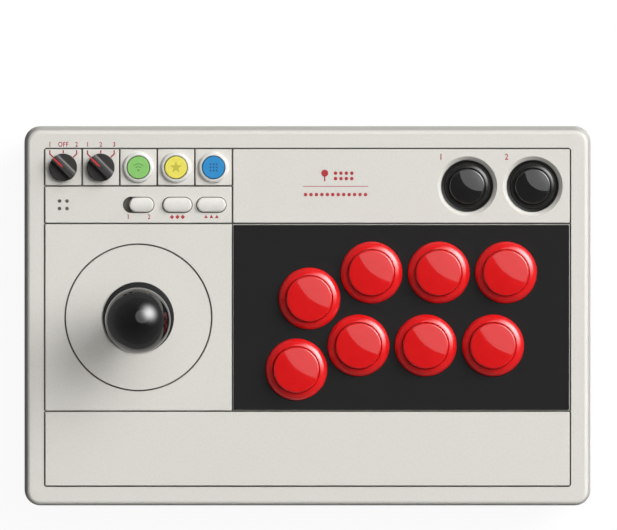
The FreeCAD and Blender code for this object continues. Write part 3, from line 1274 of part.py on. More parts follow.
def tail_reach(radius, z):
    """How far along X or Y the tilted lever's lower end reaches from its upright axis, at a height."""
    return (PIVOT_Z - z) * math.tan(TILT) / math.cos(TILT) + radius / math.cos(TILT)


def stick_switch_board():
    """Switch board of the lever with its four soldered microswitches round the actuator."""
    low = HOUSING_BOTTOM_Z - STICK_BOARD_THICK
    wire = rounded_rectangle(HOUSING_LENGTH, HOUSING_WIDTH, HOUSING_CORNER, low, LEVER_X, LEVER_Y)
    board = prism(wire, STICK_BOARD_THICK)
    face = tail_reach(ACTUATOR_RADIUS, ACTUATOR_BOTTOM_Z) + STICK_SWITCH_GAP
    middle = face + SWITCH_WIDTH / 2
    switches = []
    for sx, sy in ((1, 0), (-1, 0), (0, 1), (0, -1)):
        length, width = (SWITCH_WIDTH, SWITCH_LENGTH) if sx else (SWITCH_LENGTH, SWITCH_WIDTH)
        x, y = LEVER_X + sx * middle, LEVER_Y + sy * middle
        switches.append(block(length, width, STICK_SWITCH_DROP, x, y, SWITCH_BOTTOM_Z))
    cuts = [cylinder(face, low, HOUSING_BOTTOM_Z, LEVER_X, LEVER_Y)]
    bore = STICK_BOLT_RADIUS + STICK_BOLT_CLEAR
    cuts += [cylinder(bore, low, HOUSING_BOTTOM_Z, x, y) for x, y in stick_bolt_places()]
    return board.fuse(switches).cut(cuts).removeSplitter()


def stick_gate():
    """Restrictor gate: a shallow tray round the switches whose square window stops the shaft's tail."""
    top = HOUSING_BOTTOM_Z - STICK_BOARD_THICK
    low = GATE_BOTTOM_Z
    wire = rounded_rectangle(HOUSING_LENGTH, HOUSING_WIDTH, HOUSING_CORNER, low, LEVER_X, LEVER_Y)
    tray = prism(wire, top - low)
    inner_length, inner_width = HOUSING_LENGTH - 2 * GATE_WALL, HOUSING_WIDTH - 2 * GATE_WALL
    inner = block(inner_length, inner_width, top - GATE_FLOOR_Z, LEVER_X, LEVER_Y, GATE_FLOOR_Z)
    post = STICK_BOLT_RADIUS + STICK_BOLT_CLEAR + GATE_WALL
    posts = [cylinder(post, low, top, x, y) for x, y in stick_bolt_places()]
    stop = tail_reach(SHAFT_TAIL_RADIUS, SHAFT_END_Z) + GATE_STOP_CLEAR
    cuts = [block(2 * stop, 2 * stop, GATE_FLOOR, LEVER_X, LEVER_Y, low)]
    bore = STICK_BOLT_RADIUS + STICK_BOLT_CLEAR
    cuts += [cylinder(bore, low, top, x, y) for x, y in stick_bolt_places()]
    return tray.cut(inner).fuse(posts).cut(cuts).removeSplitter()


def stick_screws():
    """The lever's screws: four up through the plate into the deck, four long ones through the gate."""
    screws = []
    seats = [(x, y, HOUSING_TOP_Z, DECK_UNDER_Z) for x, y in stick_plate_holes()]
    seats += [(x, y, GATE_BOTTOM_Z, PLATE_TOP_Z) for x, y in stick_bolt_places()]
    for x, y, seat, top in seats:
        head = cylinder(SCREW_HEAD_RADIUS, seat - SCREW_HEAD_HEIGHT, seat, x, y)
        screws.append(head.fuse(cylinder(STICK_BOLT_RADIUS, seat, top, x, y)).removeSplitter())
    return Part.makeCompound(screws)


def pieces():
    """Every piece by its node's name."""
    made = {
        "upper_case": upper_case(),
        "lower_case": lower_case(),
        "rubber_feet": rubber_feet(),
        "case_screws": case_screws(),
        "button_panel": button_panel(),
        "panel_nuts": panel_nuts(),
        "status_lights": status_lights(),
        "mode_slider": mode_slider(),
        "control_board": control_board(),
        "main_board": main_board(),
        "board_screws": board_screws(),
        "charging_port": charging_port(),
        "battery_pack": battery_pack(),
        "ballast_plate": ballast_plate(),
        "stick_plate": stick_plate(),
        "stick_housing": stick_housing(),
        "stick_switch_board": stick_switch_board(),
        "stick_gate": stick_gate(),
        "stick_screws": stick_screws(),
        "pivot_rocker": pivot_rocker(),
        "pivot_pin": pivot_pin(),
        "lever_shaft": lever_shaft(),
        "ball_top": ball_top(),
        "shaft_sleeve": shaft_sleeve(),
        "dust_washer": dust_washer(),
        "lever_spring": lever_spring(),
        "lever_actuator": lever_actuator(),
        "lever_clip": lever_clip(),
        "action_switches": button_switches("action", action_places().values()),
        "player_switches": button_switches("player", PLAYER_PLACES.values()),
    }
    for kind, places in (("action", action_places()), ("player", PLAYER_PLACES)):
        for name, (x, y) in places.items():
            made[f"{kind}_housing_{name}"] = button_housing(kind, x, y)
            made[f"{kind}_plunger_{name}"] = button_plunger(kind, x, y)
    for name, (x, y) in CAP_PLACES.items():
        made[f"{name}_ring"] = button_ring(x, y)
        made[f"{name}_cap"] = colour_cap(x, y)
    for name, (x, y) in KEY_PLACES.items():
        made[f"{name}_key"] = key(x, y)
    for name, (x, y) in DIAL_PLACES.items():
        made[f"{name}_dial"] = dial(x, y)
    return made


def main():
    """Writes one STEP file per piece."""
    os.makedirs("parts", exist_ok=True)
    for name, shape in pieces().items():
        shape.exportStep(os.path.join("parts", name + ".step"))


if __name__ == "__main__":
    main()
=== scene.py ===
"""Arcade stick: finishes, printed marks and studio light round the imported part."""

import json
import math

import bmesh
import bpy
from mathutils import Matrix, Vector

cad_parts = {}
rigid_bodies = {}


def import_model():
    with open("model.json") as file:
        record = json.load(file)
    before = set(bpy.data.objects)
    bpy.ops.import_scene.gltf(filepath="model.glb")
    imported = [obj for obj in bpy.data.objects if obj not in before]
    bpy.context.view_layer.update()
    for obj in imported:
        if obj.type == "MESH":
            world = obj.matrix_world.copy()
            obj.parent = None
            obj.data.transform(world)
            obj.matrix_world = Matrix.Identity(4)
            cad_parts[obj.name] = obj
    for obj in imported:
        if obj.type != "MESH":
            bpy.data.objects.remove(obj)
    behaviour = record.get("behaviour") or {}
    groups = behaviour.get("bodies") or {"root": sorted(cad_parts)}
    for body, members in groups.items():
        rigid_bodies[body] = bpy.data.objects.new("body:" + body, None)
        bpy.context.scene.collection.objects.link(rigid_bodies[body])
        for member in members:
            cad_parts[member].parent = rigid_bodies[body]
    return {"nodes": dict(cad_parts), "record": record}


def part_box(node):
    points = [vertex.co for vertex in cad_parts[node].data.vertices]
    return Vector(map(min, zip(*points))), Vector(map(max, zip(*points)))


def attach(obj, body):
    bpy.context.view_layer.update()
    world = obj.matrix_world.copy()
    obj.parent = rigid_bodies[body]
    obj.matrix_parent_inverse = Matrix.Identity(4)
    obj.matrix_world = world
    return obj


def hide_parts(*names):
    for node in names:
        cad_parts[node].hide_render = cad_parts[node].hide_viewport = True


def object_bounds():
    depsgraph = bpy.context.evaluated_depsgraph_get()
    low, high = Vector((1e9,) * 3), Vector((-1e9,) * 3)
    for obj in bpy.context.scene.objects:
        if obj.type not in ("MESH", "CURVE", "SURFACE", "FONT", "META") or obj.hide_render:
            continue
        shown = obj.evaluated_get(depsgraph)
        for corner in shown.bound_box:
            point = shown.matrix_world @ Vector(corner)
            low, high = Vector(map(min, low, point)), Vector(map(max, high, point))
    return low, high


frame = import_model()
cad_low, cad_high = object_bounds()

MM = 0.001

# Bare edge of the button panel, and the polished bezel over the matt flange of a player button
PANEL_EDGE = (-0.11 * MM, -0.06 * MM)
PANEL_EDGE_TONE = (205, 203, 197)
BEZEL_RISE = (-1.6 * MM, -0.5 * MM)
FLANGE_ROUGHNESS = 0.5

# Dark ring that slopes from the wall of a player button's recess down to its bezel
RING_PROFILE = ((11.9, -1.95), (13.75, -0.9), (13.75, -2.6), (11.9, -2.6))
RING_STEPS = 128

# Print on the deck
PRINT_THICK = 0.03 * MM
PRINT_SINK = 0.01 * MM
STROKE = 0.7 * MM
THIN_STROKE = 0.35 * MM
LABEL_SIZE = 3.5 * MM
PLAYER_LABEL_SIZE = 4.5 * MM
LABEL_SQUEEZE = 0.84
LABEL_WEIGHT = 0.022
LABEL_SPACING = 1.12

# Scale round each dial: three strokes from their labels to the knob
TICK_SPREAD = 7.15 * MM
TICK_TOP = 9.15 * MM
TICK_BEND = 7.1 * MM
TICK_GAP = 0.15 * MM
DIAL_LABEL_RISE = 12.15 * MM
DIAL_LABELS = {"left_dial": ("1", "OFF", "2"), "right_dial": ("1", "2", "3")}

# Signs under the keys and the slider, beside the player buttons and in the header field
SIGN_DROP = 6.5 * MM
SIGN_PITCH = 2.9 * MM
SIGN_COUNT = 3
SIGN_RADIUS = 1.2 * MM
SLIDER_SIGN_SPREAD = 5.6 * MM
SLIDER_REST = 1.5 * MM

# Grid of grooves in the deck, with painted shade: a dark sheet on their floor
GRID_MODULE = 20.1 * MM
GRID_COLUMNS = 14
GRID_ROWS = 9
HEADER_ROWS = 2
CONTROL_COLUMNS = 5
PALM_ROWS = 2
GROOVE_DEPTH = 1.6 * MM
GROOVE_WIDTH = 0.75 * MM
LEVER_RING_RADIUS = 39.2 * MM

# Keys and slider: a top that curves down to the long sides, and painted shade, a dark strip in the gap round
# each
CROWN_RISE = 0.6 * MM
CROWN_RADIUS = 10.5 * MM
CROWN_DEPTH = 1.6 * MM
CROWN_CUTS = 16
SHARP_ANGLE = 30.0
KEY_SIZE = Vector((15.5, 7.8)) * MM
KEY_GAP = 0.45 * MM
GAP_SHADE_DROP = 0.2 * MM
GAP_SHADE_ROOM = 0.04 * MM
GAP_SHADE_SEGMENTS = 48

# Painted shade: a dark sheet on the floor of the slider's slot, open in the middle for the stem
SLOT_DEPTH = 2.6 * MM
SLOT_MARGIN = 0.35 * MM
SLOT_SHADE_GAP = 3.6 * MM
PLAYER_LABEL_SHIFT = Vector((-14.1, 15.5)) * MM
HEADER_PLACE = Vector((15.0, 70.2)) * MM
HEADER_RULE = 35.0 * MM
HEADER_SIGN_RISE = 5.6 * MM
HEADER_ROW_DROP = 4.4 * MM
HEADER_ROW_COUNT = 12
HEADER_DOT = 0.95 * MM
HEADER_PITCH = 2.9 * MM

# Soft lip round the dust washer, which wipes the deck
LIP_RADIUS = 18.7 * MM
LIP_WIDTH = 0.7 * MM
LIP_THICK = 0.7 * MM
LIP_ROOM = 0.06 * MM

# Pointer inlay in each dial's groove
POINTER_BEARING = 135.0
POINTER_INNER = -0.4 * MM
POINTER_TAPER = 2.2 * MM
POINTER_OUTER = 7.3 * MM
POINTER_WIDTH = 0.86 * MM
POINTER_THICK = 0.29 * MM

# Signs on the colour caps
ARC_RADII = (1.9 * MM, 3.4 * MM)
ARC_SWEEP = 96.0
ARC_STEPS = 16
ARC_STROKE = 0.55 * MM
ARC_FOOT = -1.5 * MM
ARC_DOT = 0.6 * MM
STAR_RADIUS = 3.3 * MM
STAR_WAIST = 0.42
GRID_PITCH = 1.7 * MM
GRID_DOT = 0.55 * MM

# View of the photograph: a long lens from above, tipped towards the back
VIEW_WIDTH = 330.1 * MM
VIEW_TIP = 2.0
VIEW_AIM = Vector((0.55, 28.1, 51.0)) * MM
LENS = 1450.0
SENSOR = 36.0

# Studio light: a disc whose rim shows in the polished buttons, plain lamps overhead and in front, a soft key
DISC_BEARING = 47.0
DISC_OFF_ZENITH = 22.4
DISC_HALF_ANGLE = 23.5
DISC_RADIANCE = 0.98
FILL_HALF_ANGLE = 28.0
FILL_RADIANCE = 1.46
FRONT_BEARING = 270.0
FRONT_OFF_ZENITH = 72.0
FRONT_HALF_ANGLE = 17.0
FRONT_RADIANCE = 0.9
LAMP_DISTANCE = 14.0
KEY_BEARING = 35.0
KEY_OFF_ZENITH = 51.0
KEY_HALF_ANGLE = 17.6
KEY_SPREAD = 3.0
KEY_DISTANCE = 7.0
KEY_RADIANCE = 9.2
SHINE_DISTANCE = 8.0
SHINE_RADIANCE = 2.4
SKY_ZENITH = 0.03
SKY_HORIZON = 0.22
SKY_FILL = 0.17
FLOOR_SIZE = 60.0
FLOOR_LIFT = 0.93
FLOOR_TONE = 0.09
FLOOR_HAZE = 0.2


def middle(node):
    """Middle of a node's upper side, as a point on the plan."""
    low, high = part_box(node)
    return ((low + high) / 2).to_2d()


def top(node):
    """Height of a node's upper side."""
    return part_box(node)[1].z


def linear(red, green, blue):
    """Shader colour of a screen colour given in steps of 0 to 255."""
    steps = [channel / 255 for channel in (red, green, blue)]
    return (*[((s + 0.055) / 1.055) ** 2.4 if s > 0.04 else s / 12.92 for s in steps], 1.0)


# Finishes
def finish(name, tone, drift, roughness, cloud, grain, depth, stretch=(1, 1, 1), **sockets):
    """Finish whose tone and gloss drift a little over the surface, under a fine grain.

    Tone and drift are screen colours, roughness is a low and a high value, cloud and grain count
    patches and grains a metre, depth is the grain's in millimetres, and stretch draws it out.
    """
    material = bpy.data.materials.new(name)
    material.use_nodes = True
    nodes, link = material.node_tree.nodes, material.node_tree.links.new
    shader = nodes["Principled BSDF"]
    for socket, value in sockets.items():
        shader.inputs[socket.replace("_", " ")].default_value = value

    place = nodes.new("ShaderNodeTexCoord")
    draw_out = nodes.new("ShaderNodeMapping")
    draw_out.inputs["Scale"].default_value = stretch
    link(place.outputs["Object"], draw_out.inputs["Vector"])

    clouds = nodes.new("ShaderNodeTexNoise")
    clouds.inputs["Scale"].default_value = cloud
    clouds.inputs["Detail"].default_value = 3.0
    link(draw_out.outputs["Vector"], clouds.inputs["Vector"])
    tones = nodes.new("ShaderNodeValToRGB")
    tones.color_ramp.elements[0].position = 0.35
    tones.color_ramp.elements[0].color = linear(*drift)
    tones.color_ramp.elements[1].position = 0.65
    tones.color_ramp.elements[1].color = linear(*tone)
    link(clouds.outputs["Fac"], tones.inputs["Fac"])
    link(tones.outputs["Color"], shader.inputs["Base Color"])

    gloss = nodes.new("ShaderNodeMapRange")
    gloss.inputs["From Min"].default_value = 0.35
    gloss.inputs["From Max"].default_value = 0.65
    gloss.inputs["To Min"].default_value, gloss.inputs["To Max"].default_value = roughness
    link(clouds.outputs["Fac"], gloss.inputs["Value"])
    link(gloss.outputs["Result"], shader.inputs["Roughness"])

    grains = nodes.new("ShaderNodeTexNoise")
    grains.inputs["Scale"].default_value = grain
    grains.inputs["Detail"].default_value = 2.0
    link(draw_out.outputs["Vector"], grains.inputs["Vector"])
    relief = nodes.new("ShaderNodeBump")
    relief.inputs["Distance"].default_value = depth * MM
    link(grains.outputs["Fac"], relief.inputs["Height"])
    link(relief.outputs["Normal"], shader.inputs["Normal"])
    return material


def layered(material, socket, levels, lower):
    """Gives a finish another colour or roughness under a height, across a band between two levels."""
    nodes, link = material.node_tree.nodes, material.node_tree.links.new
    target = nodes["Principled BSDF"].inputs[socket]
    upper = target.links[0].from_socket
    place = nodes.new("ShaderNodeTexCoord")
    height = nodes.new("ShaderNodeSeparateXYZ")
    link(place.outputs["Object"], height.inputs["Vector"])
    rise = nodes.new("ShaderNodeMapRange")
    rise.inputs["From Min"].default_value, rise.inputs["From Max"].default_value = levels
    link(height.outputs["Z"], rise.inputs["Value"])
    blend = nodes.new("ShaderNodeMixRGB")
    blend.inputs["Color1"].default_value = lower
    link(rise.outputs["Result"], blend.inputs["Fac"])
    link(upper, blend.inputs["Color2"])
    link(blend.outputs["Color"], target)


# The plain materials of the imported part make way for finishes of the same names
bpy.data.batch_remove(bpy.data.materials)
METAL = {"Metallic": 1.0}
DULL = {"Specular_IOR_Level": 0.18}
FINISH_LIST = (
    finish("case_light", (223, 220, 213), (219, 216, 209), (0.46, 0.56), 900, 2600, 0.012),
    finish("case_grey", (140, 138, 134), (135, 133, 129), (0.5, 0.6), 900, 2600, 0.015),
    finish("foot_rubber", (48, 48, 48), (38, 38, 38), (0.75, 0.9), 400, 3000, 0.05),
    finish(
        "fastener_steel", (178, 178, 180), (160, 160, 164), (0.3, 0.42), 700, 5000, 0.004, **METAL
    ),
    finish("panel_black", (31, 31, 31), (28, 28, 28), (0.75, 0.85), 700, 2200, 0.02, **DULL),
    finish("button_red", (225, 27, 29), (221, 24, 26), (0.03, 0.06), 120, 900, 0.0004, IOR=1.7),
    finish("button_black", (29, 29, 29), (26, 26, 26), (0.03, 0.06), 120, 900, 0.0004, IOR=1.85),
    finish("bezel_black", (36, 36, 34), (33, 33, 31), (0.08, 0.12), 300, 2000, 0.001),
    finish("ball_black", (22, 22, 22), (19, 19, 19), (0.02, 0.05), 120, 900, 0.0004, IOR=1.7),
    finish("sleeve_black", (32, 32, 32), (27, 27, 27), (0.3, 0.38), 300, 2000, 0.004),
    finish("washer_black", (20, 20, 20), (17, 17, 17), (0.32, 0.4), 300, 2000, 0.004),
    finish("ring_white", (228, 227, 222), (224, 223, 218), (0.2, 0.28), 200, 1500, 0.002),
    finish("cap_green", (140, 204, 110), (136, 199, 106), (0.35, 0.45), 500, 2500, 0.006),
    finish("cap_yellow", (240, 228, 95), (236, 224, 91), (0.35, 0.45), 500, 2500, 0.006),
    finish("cap_blue", (36, 141, 204), (33, 137, 199), (0.35, 0.45), 500, 2500, 0.006),
    finish("key_light", (230, 227, 221), (226, 223, 217), (0.3, 0.4), 300, 2500, 0.004),
    finish("dial_black", (44, 42, 41), (39, 37, 36), (0.38, 0.48), 600, 2600, 0.01),
    finish("light_lens", (96, 95, 90), (84, 83, 79), (0.25, 0.35), 900, 3000, 0.003),
    finish("board_green", (38, 92, 52), (22, 66, 38), (0.35, 0.5), 350, 1500, 0.03),
    finish("cell_wrap", (62, 84, 120), (52, 72, 106), (0.3, 0.4), 80, 400, 0.05),
    finish(
        "ballast_steel", (150, 151, 153), (124, 126, 129), (0.4, 0.6), 90, 1200, 0.01, **METAL
    ),
    finish(
        "port_steel", (196, 196, 198), (182, 182, 186), (0.22, 0.3), 900, 6000, 0.002, **METAL
    ),
    finish("mechanism_black", (40, 40, 41), (33, 33, 34), (0.42, 0.55), 500, 2200, 0.01),
    finish(
        "shaft_steel", (205, 206, 208), (186, 187, 190), (0.16, 0.24), 500, 4000, 0.003, (1, 1, 0.05), **METAL
    ),
    finish("switch_black", (34, 34, 35), (28, 28, 29), (0.4, 0.5), 500, 2600, 0.006),
)
FINISHES = {material.name: material for material in FINISH_LIST}
# Painted shade: the dark tone of the sheet on the floor of the grooves
groove_shade_paint = finish("groove_shade_paint", (82, 80, 77), (77, 75, 72), (0.7, 0.8), 900, 2600, 0.02)
ring_black = finish("ring_black", (21, 21, 20), (18, 18, 17), (0.38, 0.44), 900, 2600, 0.004)
# Painted shade: the dark tone of the strip in the gap round the keys and the slider
gap_shade_paint = finish("gap_shade_paint", (34, 33, 32), (30, 29, 28), (0.7, 0.8), 900, 2600, 0.02)
# Painted shade: the dark tone of the sheet on the floor of the slider's slot
slot_shade_paint = finish("slot_shade_paint", (104, 102, 98), (98, 96, 92), (0.6, 0.7), 900, 2600, 0.02)
red_print = finish("red_print", (178, 40, 48), (170, 35, 43), (0.5, 0.6), 900, 2600, 0.006)
pointer_red = finish("pointer_red", (214, 44, 50), (206, 38, 44), (0.4, 0.5), 900, 2600, 0.004)
green_sign = finish("green_sign", (98, 158, 70), (94, 153, 66), (0.45, 0.55), 900, 2600, 0.004)
yellow_sign = finish("yellow_sign", (204, 191, 66), (199, 186, 62), (0.45, 0.55), 900, 2600, 0.004)
blue_sign = finish("blue_sign", (28, 92, 152), (24, 87, 146), (0.45, 0.55), 900, 2600, 0.004)

panel_band = [top("button_panel") + level for level in PANEL_EDGE]
layered(FINISHES["panel_black"], "Base Color", panel_band, linear(*PANEL_EDGE_TONE))
bezel_band = [top("player_housing_one") + level for level in BEZEL_RISE]
layered(FINISHES["bezel_black"], "Roughness", bezel_band, (*[FLANGE_ROUGHNESS] * 3, 1.0))

for part in frame["record"]["subparts"]:
    node_mesh = frame["nodes"][part["node"]].data
    node_mesh.materials.clear()
    node_mesh.materials.append(FINISHES[part["material_slot"]])


# Strokes of a print, drawn flat on the plan
def bar(bm, start, end, width):
    """Straight stroke between two points."""
    run = end - start
    place = Matrix.Translation(((start + end) / 2).to_3d())
    turn = Matrix.Rotation(math.atan2(run.y, run.x), 4, "Z")
    size = Matrix.Diagonal((run.length, width, 1, 1))
    bmesh.ops.create_grid(bm, x_segments=1, y_segments=1, size=0.5, matrix=place @ turn @ size)


def dot(bm, place, radius, segments=24):
    """Round spot, or with few segments a corner-shaped one."""
    at = Matrix.Translation(place.to_3d())
    return bmesh.ops.create_circle(bm, cap_ends=True, segments=segments, radius=radius, matrix=at)["verts"]


def bow(bm, centre, radius, width, sweep=ARC_SWEEP, steps=ARC_STEPS):
    """Curved stroke about a centre, with its crown to the back."""
    turn = Matrix.Rotation(math.radians(90 - sweep / 2), 2)
    reaches = (radius - width / 2, radius + width / 2)
    ends = [bm.verts.new((centre + turn @ Vector((reach, 0))).to_3d()) for reach in reaches]
    bmesh.ops.spin(
        bm,
        geom=[*ends, bm.edges.new(ends)],
        cent=centre.to_3d(),
        axis=(0, 0, 1),
        angle=math.radians(sweep),
        steps=steps,
        use_merge=sweep == 360,
    )


def lettering(bm, words, place, size):
    """Words or figures, centred on a place."""
    curve = bpy.data.curves.new("label", "FONT")
    curve.body, curve.size = words, size
    curve.offset, curve.space_character = LABEL_WEIGHT * size, LABEL_SPACING
    curve.align_x = curve.align_y = "CENTER"
    label = bpy.data.objects.new("label", curve)
    bpy.context.collection.objects.link(label)
    mesh = bpy.data.meshes.new_from_object(label.evaluated_get(bpy.context.evaluated_depsgraph_get()))
    mesh.transform(Matrix.Translation(place.to_3d()) @ Matrix.Diagonal((LABEL_SQUEEZE, 1, 1, 1)))
    bm.from_mesh(mesh)
    bpy.data.objects.remove(label)
    bpy.data.curves.remove(curve)
    bpy.data.meshes.remove(mesh)


def carried(name, bm, material, body):
    """Piece of a shape in one finish, carried by a body."""
    mesh = bpy.data.meshes.new(name)
    bm.to_mesh(mesh)
    bm.free()
    mesh.materials.append(material)
    piece = bpy.data.objects.new(name, mesh)
    bpy.context.collection.objects.link(piece)
    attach(piece, body)
    return piece


def printed(name, bm, surface, thick, material, body):
    """Piece made of flat strokes, given their thickness on a surface at a height and carried by a body."""
    raised = bmesh.ops.extrude_face_region(bm, geom=bm.faces[:])["geom"]
    upper = [part for part in raised if isinstance(part, bmesh.types.BMVert)]
    bmesh.ops.translate(bm, verts=upper, vec=(0, 0, thick))
    bmesh.ops.translate(bm, verts=bm.verts, vec=(0, 0, surface - PRINT_SINK))
    bmesh.ops.recalc_face_normals(bm, faces=bm.faces)
    return carried(name, bm, material, body)


# Red print on the deck
def dial_scale(bm, dial, labels):
    """Three strokes from a dial's knob to their labels: two bent ones and a straight one between them."""
    centre = middle(dial)
    low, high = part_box(dial)
    reach = (high.x - low.x) / 2 + TICK_GAP
    bar(bm, centre + Vector((0, reach)), centre + Vector((0, TICK_TOP)), STROKE)
    slant = Vector((1, 1)).normalized()
    for side in (-1, 1):
        mirror = Matrix.Diagonal((side, 1))
        bend = Vector((TICK_SPREAD, TICK_BEND))
        bar(bm, centre + mirror @ bend, centre + mirror @ Vector((TICK_SPREAD, TICK_TOP)), STROKE)
        bar(bm, centre + mirror @ (slant * reach), centre + mirror @ bend, STROKE)
        dot(bm, centre + mirror @ bend, STROKE / 2, segments=12)
    for label, shift in zip(labels, (-TICK_SPREAD, 0, TICK_SPREAD)):
        lettering(bm, label, centre + Vector((shift, DIAL_LABEL_RISE)), LABEL_SIZE)


def key_signs(bm):
    """Plain signs under the two keys: a row of squares and a row of arrowheads."""
    for key, corners in (("select_key", 4), ("start_key", 3)):
        under_key = middle(key) - Vector((0, SIGN_DROP))
        for column in range(SIGN_COUNT):
            shift = (column - (SIGN_COUNT - 1) / 2) * SIGN_PITCH
            dot(bm, under_key + Vector((shift, 0)), SIGN_RADIUS, segments=corners)


def header_sign(bm):
    """Plain sign in the header field: a lever and two rows of buttons over a rule and a row of spots."""
    half = Vector((HEADER_RULE / 2, 0))
    bar(bm, HEADER_PLACE - half, HEADER_PLACE + half, THIN_STROKE)
    sign = HEADER_PLACE + Vector((0, HEADER_SIGN_RISE))
    lever = sign - Vector((2 * HEADER_PITCH, 0))
    dot(bm, lever + Vector((0, HEADER_PITCH / 2)), 2 * HEADER_DOT)
    bar(bm, lever - Vector((0, HEADER_PITCH)), lever, STROKE)
    for row in (-0.5, 0.5):
        for column in range(4):
            dot(bm, sign + Vector((column, row)) * HEADER_PITCH, HEADER_DOT)
    step = HEADER_RULE / HEADER_ROW_COUNT
    for column in range(HEADER_ROW_COUNT):
        shift = (column + 0.5) * step - HEADER_RULE / 2
        dot(bm, HEADER_PLACE + Vector((shift, -HEADER_ROW_DROP)), HEADER_DOT)


deck_print = bmesh.new()
for dial, labels in DIAL_LABELS.items():
    dial_scale(deck_print, dial, labels)
key_signs(deck_print)
header_sign(deck_print)
slot_middle = middle("mode_slider") - Vector((SLIDER_REST, 0))
for figure, side in (("1", -1), ("2", 1)):
    spot = slot_middle + Vector((side * SLIDER_SIGN_SPREAD, -SIGN_DROP))
    lettering(deck_print, figure, spot, LABEL_SIZE)
for figure, player in (("1", "player_plunger_one"), ("2", "player_plunger_two")):
    lettering(deck_print, figure, middle(player) + PLAYER_LABEL_SHIFT, PLAYER_LABEL_SIZE)
printed("deck_print", deck_print, top("upper_case"), PRINT_THICK, red_print, "case")

# Painted shade in the grooves, a dark sheet on their floor: strokes across, strokes between them and the ring
# round the lever
def crossing(column, row):
    """Place where a column line and a row line of the deck's grid cross."""
    return Vector((column - GRID_COLUMNS / 2, GRID_ROWS / 2 - row)) * GRID_MODULE


palm_row = GRID_ROWS - PALM_ROWS
grooves = bmesh.new()
for row in (0, 1, HEADER_ROWS, palm_row, GRID_ROWS):
    reach = CONTROL_COLUMNS if row == 1 else GRID_COLUMNS
    bar(grooves, crossing(0, row), crossing(reach, row), GROOVE_WIDTH)
uprights = [(column, 0, 1) for column in range(CONTROL_COLUMNS + 1)]
uprights += [(0, 1, HEADER_ROWS), (CONTROL_COLUMNS, 1, HEADER_ROWS), (GRID_COLUMNS, 0, HEADER_ROWS)]
uprights += [(column, HEADER_ROWS, palm_row) for column in (0, CONTROL_COLUMNS, GRID_COLUMNS)]
uprights += [(column, palm_row, GRID_ROWS) for column in (0, GRID_COLUMNS)]
inset = Vector((0, GROOVE_WIDTH / 2))
for column, back, front in uprights:
    bar(grooves, crossing(column, back) - inset, crossing(column, front) + inset, GROOVE_WIDTH)
bow(grooves, middle("dust_washer"), LEVER_RING_RADIUS, GROOVE_WIDTH, sweep=360, steps=128)
printed("groove_painted_shade", grooves, top("upper_case") - GROOVE_DEPTH, PRINT_THICK, groove_shade_paint, "case")

# Painted shade on the floor of the slider's slot: the part at each end that the knob leaves open
slider_low, slider_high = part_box("mode_slider")
slot_radius = (slider_high.y - slider_low.y) / 2 + SLOT_MARGIN
slot_end = (slider_high.x - slider_low.x) / 2 + SLIDER_REST + SLOT_MARGIN - slot_radius
slot_shade_strokes = bmesh.new()
for side in (-1, 1):
    end = dot(slot_shade_strokes, slot_middle + Vector((side * slot_end, 0)), slot_radius, segments=48)
    edge = slot_middle + Vector((side * SLOT_SHADE_GAP, 0))
    geometry = {*end, *(e for v in end for e in v.link_edges), *(f for v in end for f in v.link_faces)}
    bmesh.ops.bisect_plane(
        slot_shade_strokes, geom=list(geometry), plane_co=edge.to_3d(), plane_no=(side, 0, 0), clear_inner=True
    )
printed("slot_painted_shade", slot_shade_strokes, top("upper_case") - SLOT_DEPTH, PRINT_THICK, slot_shade_paint, "case")

# Keys and slider with a crowned top, in the place of their flat solids
def crowned(node):
    """Key or knob whose top curves down to its two long sides, carried as its solid is."""
    low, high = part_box(node)
    spine = (low.y + high.y) / 2
    bm = bmesh.new()
    bm.from_mesh(frame["nodes"][node].data)
    bmesh.ops.remove_doubles(bm, verts=bm.verts, dist=0.001 * MM)
    for cut in range(1, CROWN_CUTS):
        across = (0, low.y + (high.y - low.y) * cut / CROWN_CUTS, 0)
        everything = [*bm.verts, *bm.edges, *bm.faces]
        bmesh.ops.bisect_plane(bm, geom=everything, plane_co=across, plane_no=(0, 1, 0))
    for vert in bm.verts:
        share = max(0, 1 - (high.z - vert.co.z) / CROWN_DEPTH)
        vert.co.z += share * (CROWN_RISE - (vert.co.y - spine) ** 2 / (2 * CROWN_RADIUS))
    carriers = frame["record"]["behaviour"]["bodies"].items()
    body = next(body for body, nodes in carriers if node in nodes)
    piece = carried(node + "_crowned", bm, FINISHES["key_light"], body)
    piece.data.shade_smooth()
    piece.data.set_sharp_from_angle(angle=math.radians(SHARP_ANGLE))
    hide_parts(node)


def slot_outline(bm, centre, size):
    """Edges of a slot-shaped outline: a circle drawn out to a length."""
    at = Matrix.Translation(centre.to_3d()) @ Matrix.Rotation(math.pi / GAP_SHADE_SEGMENTS, 4, "Z")
    verts = bmesh.ops.create_circle(bm, segments=GAP_SHADE_SEGMENTS, radius=size.y / 2, matrix=at)["verts"]
    for side in (-1, 1):
        half = [vert for vert in verts if (vert.co.x - centre.x) * side > 0]
        bmesh.ops.translate(bm, verts=half, vec=(side * (size.x - size.y) / 2, 0, 0))
    return list({edge for vert in verts for edge in vert.link_edges})


for key in ("select_key", "start_key", "mode_slider"):
    crowned(key)
# Painted shade: a dark strip below the deck's top in the gap round each key and the slider
gap_shade_strokes = bmesh.new()
slot_size = KEY_SIZE.copy()
slot_size.x = slider_high.x - slider_low.x + 2 * SLIDER_REST
for centre, size in (
    (middle("select_key"), KEY_SIZE),
    (middle("start_key"), KEY_SIZE),
    (slot_middle, slot_size),
):
    room = Vector((GAP_SHADE_ROOM, GAP_SHADE_ROOM)) * 2
    gap = Vector((KEY_GAP, KEY_GAP)) * 2
    inner = slot_outline(gap_shade_strokes, centre, size + room)
    outer = slot_outline(gap_shade_strokes, centre, size + gap - room)
    bmesh.ops.bridge_loops(gap_shade_strokes, edges=inner + outer)
printed("key_gap_shade", gap_shade_strokes, top("upper_case") - GAP_SHADE_DROP, PRINT_THICK, gap_shade_paint, "case")

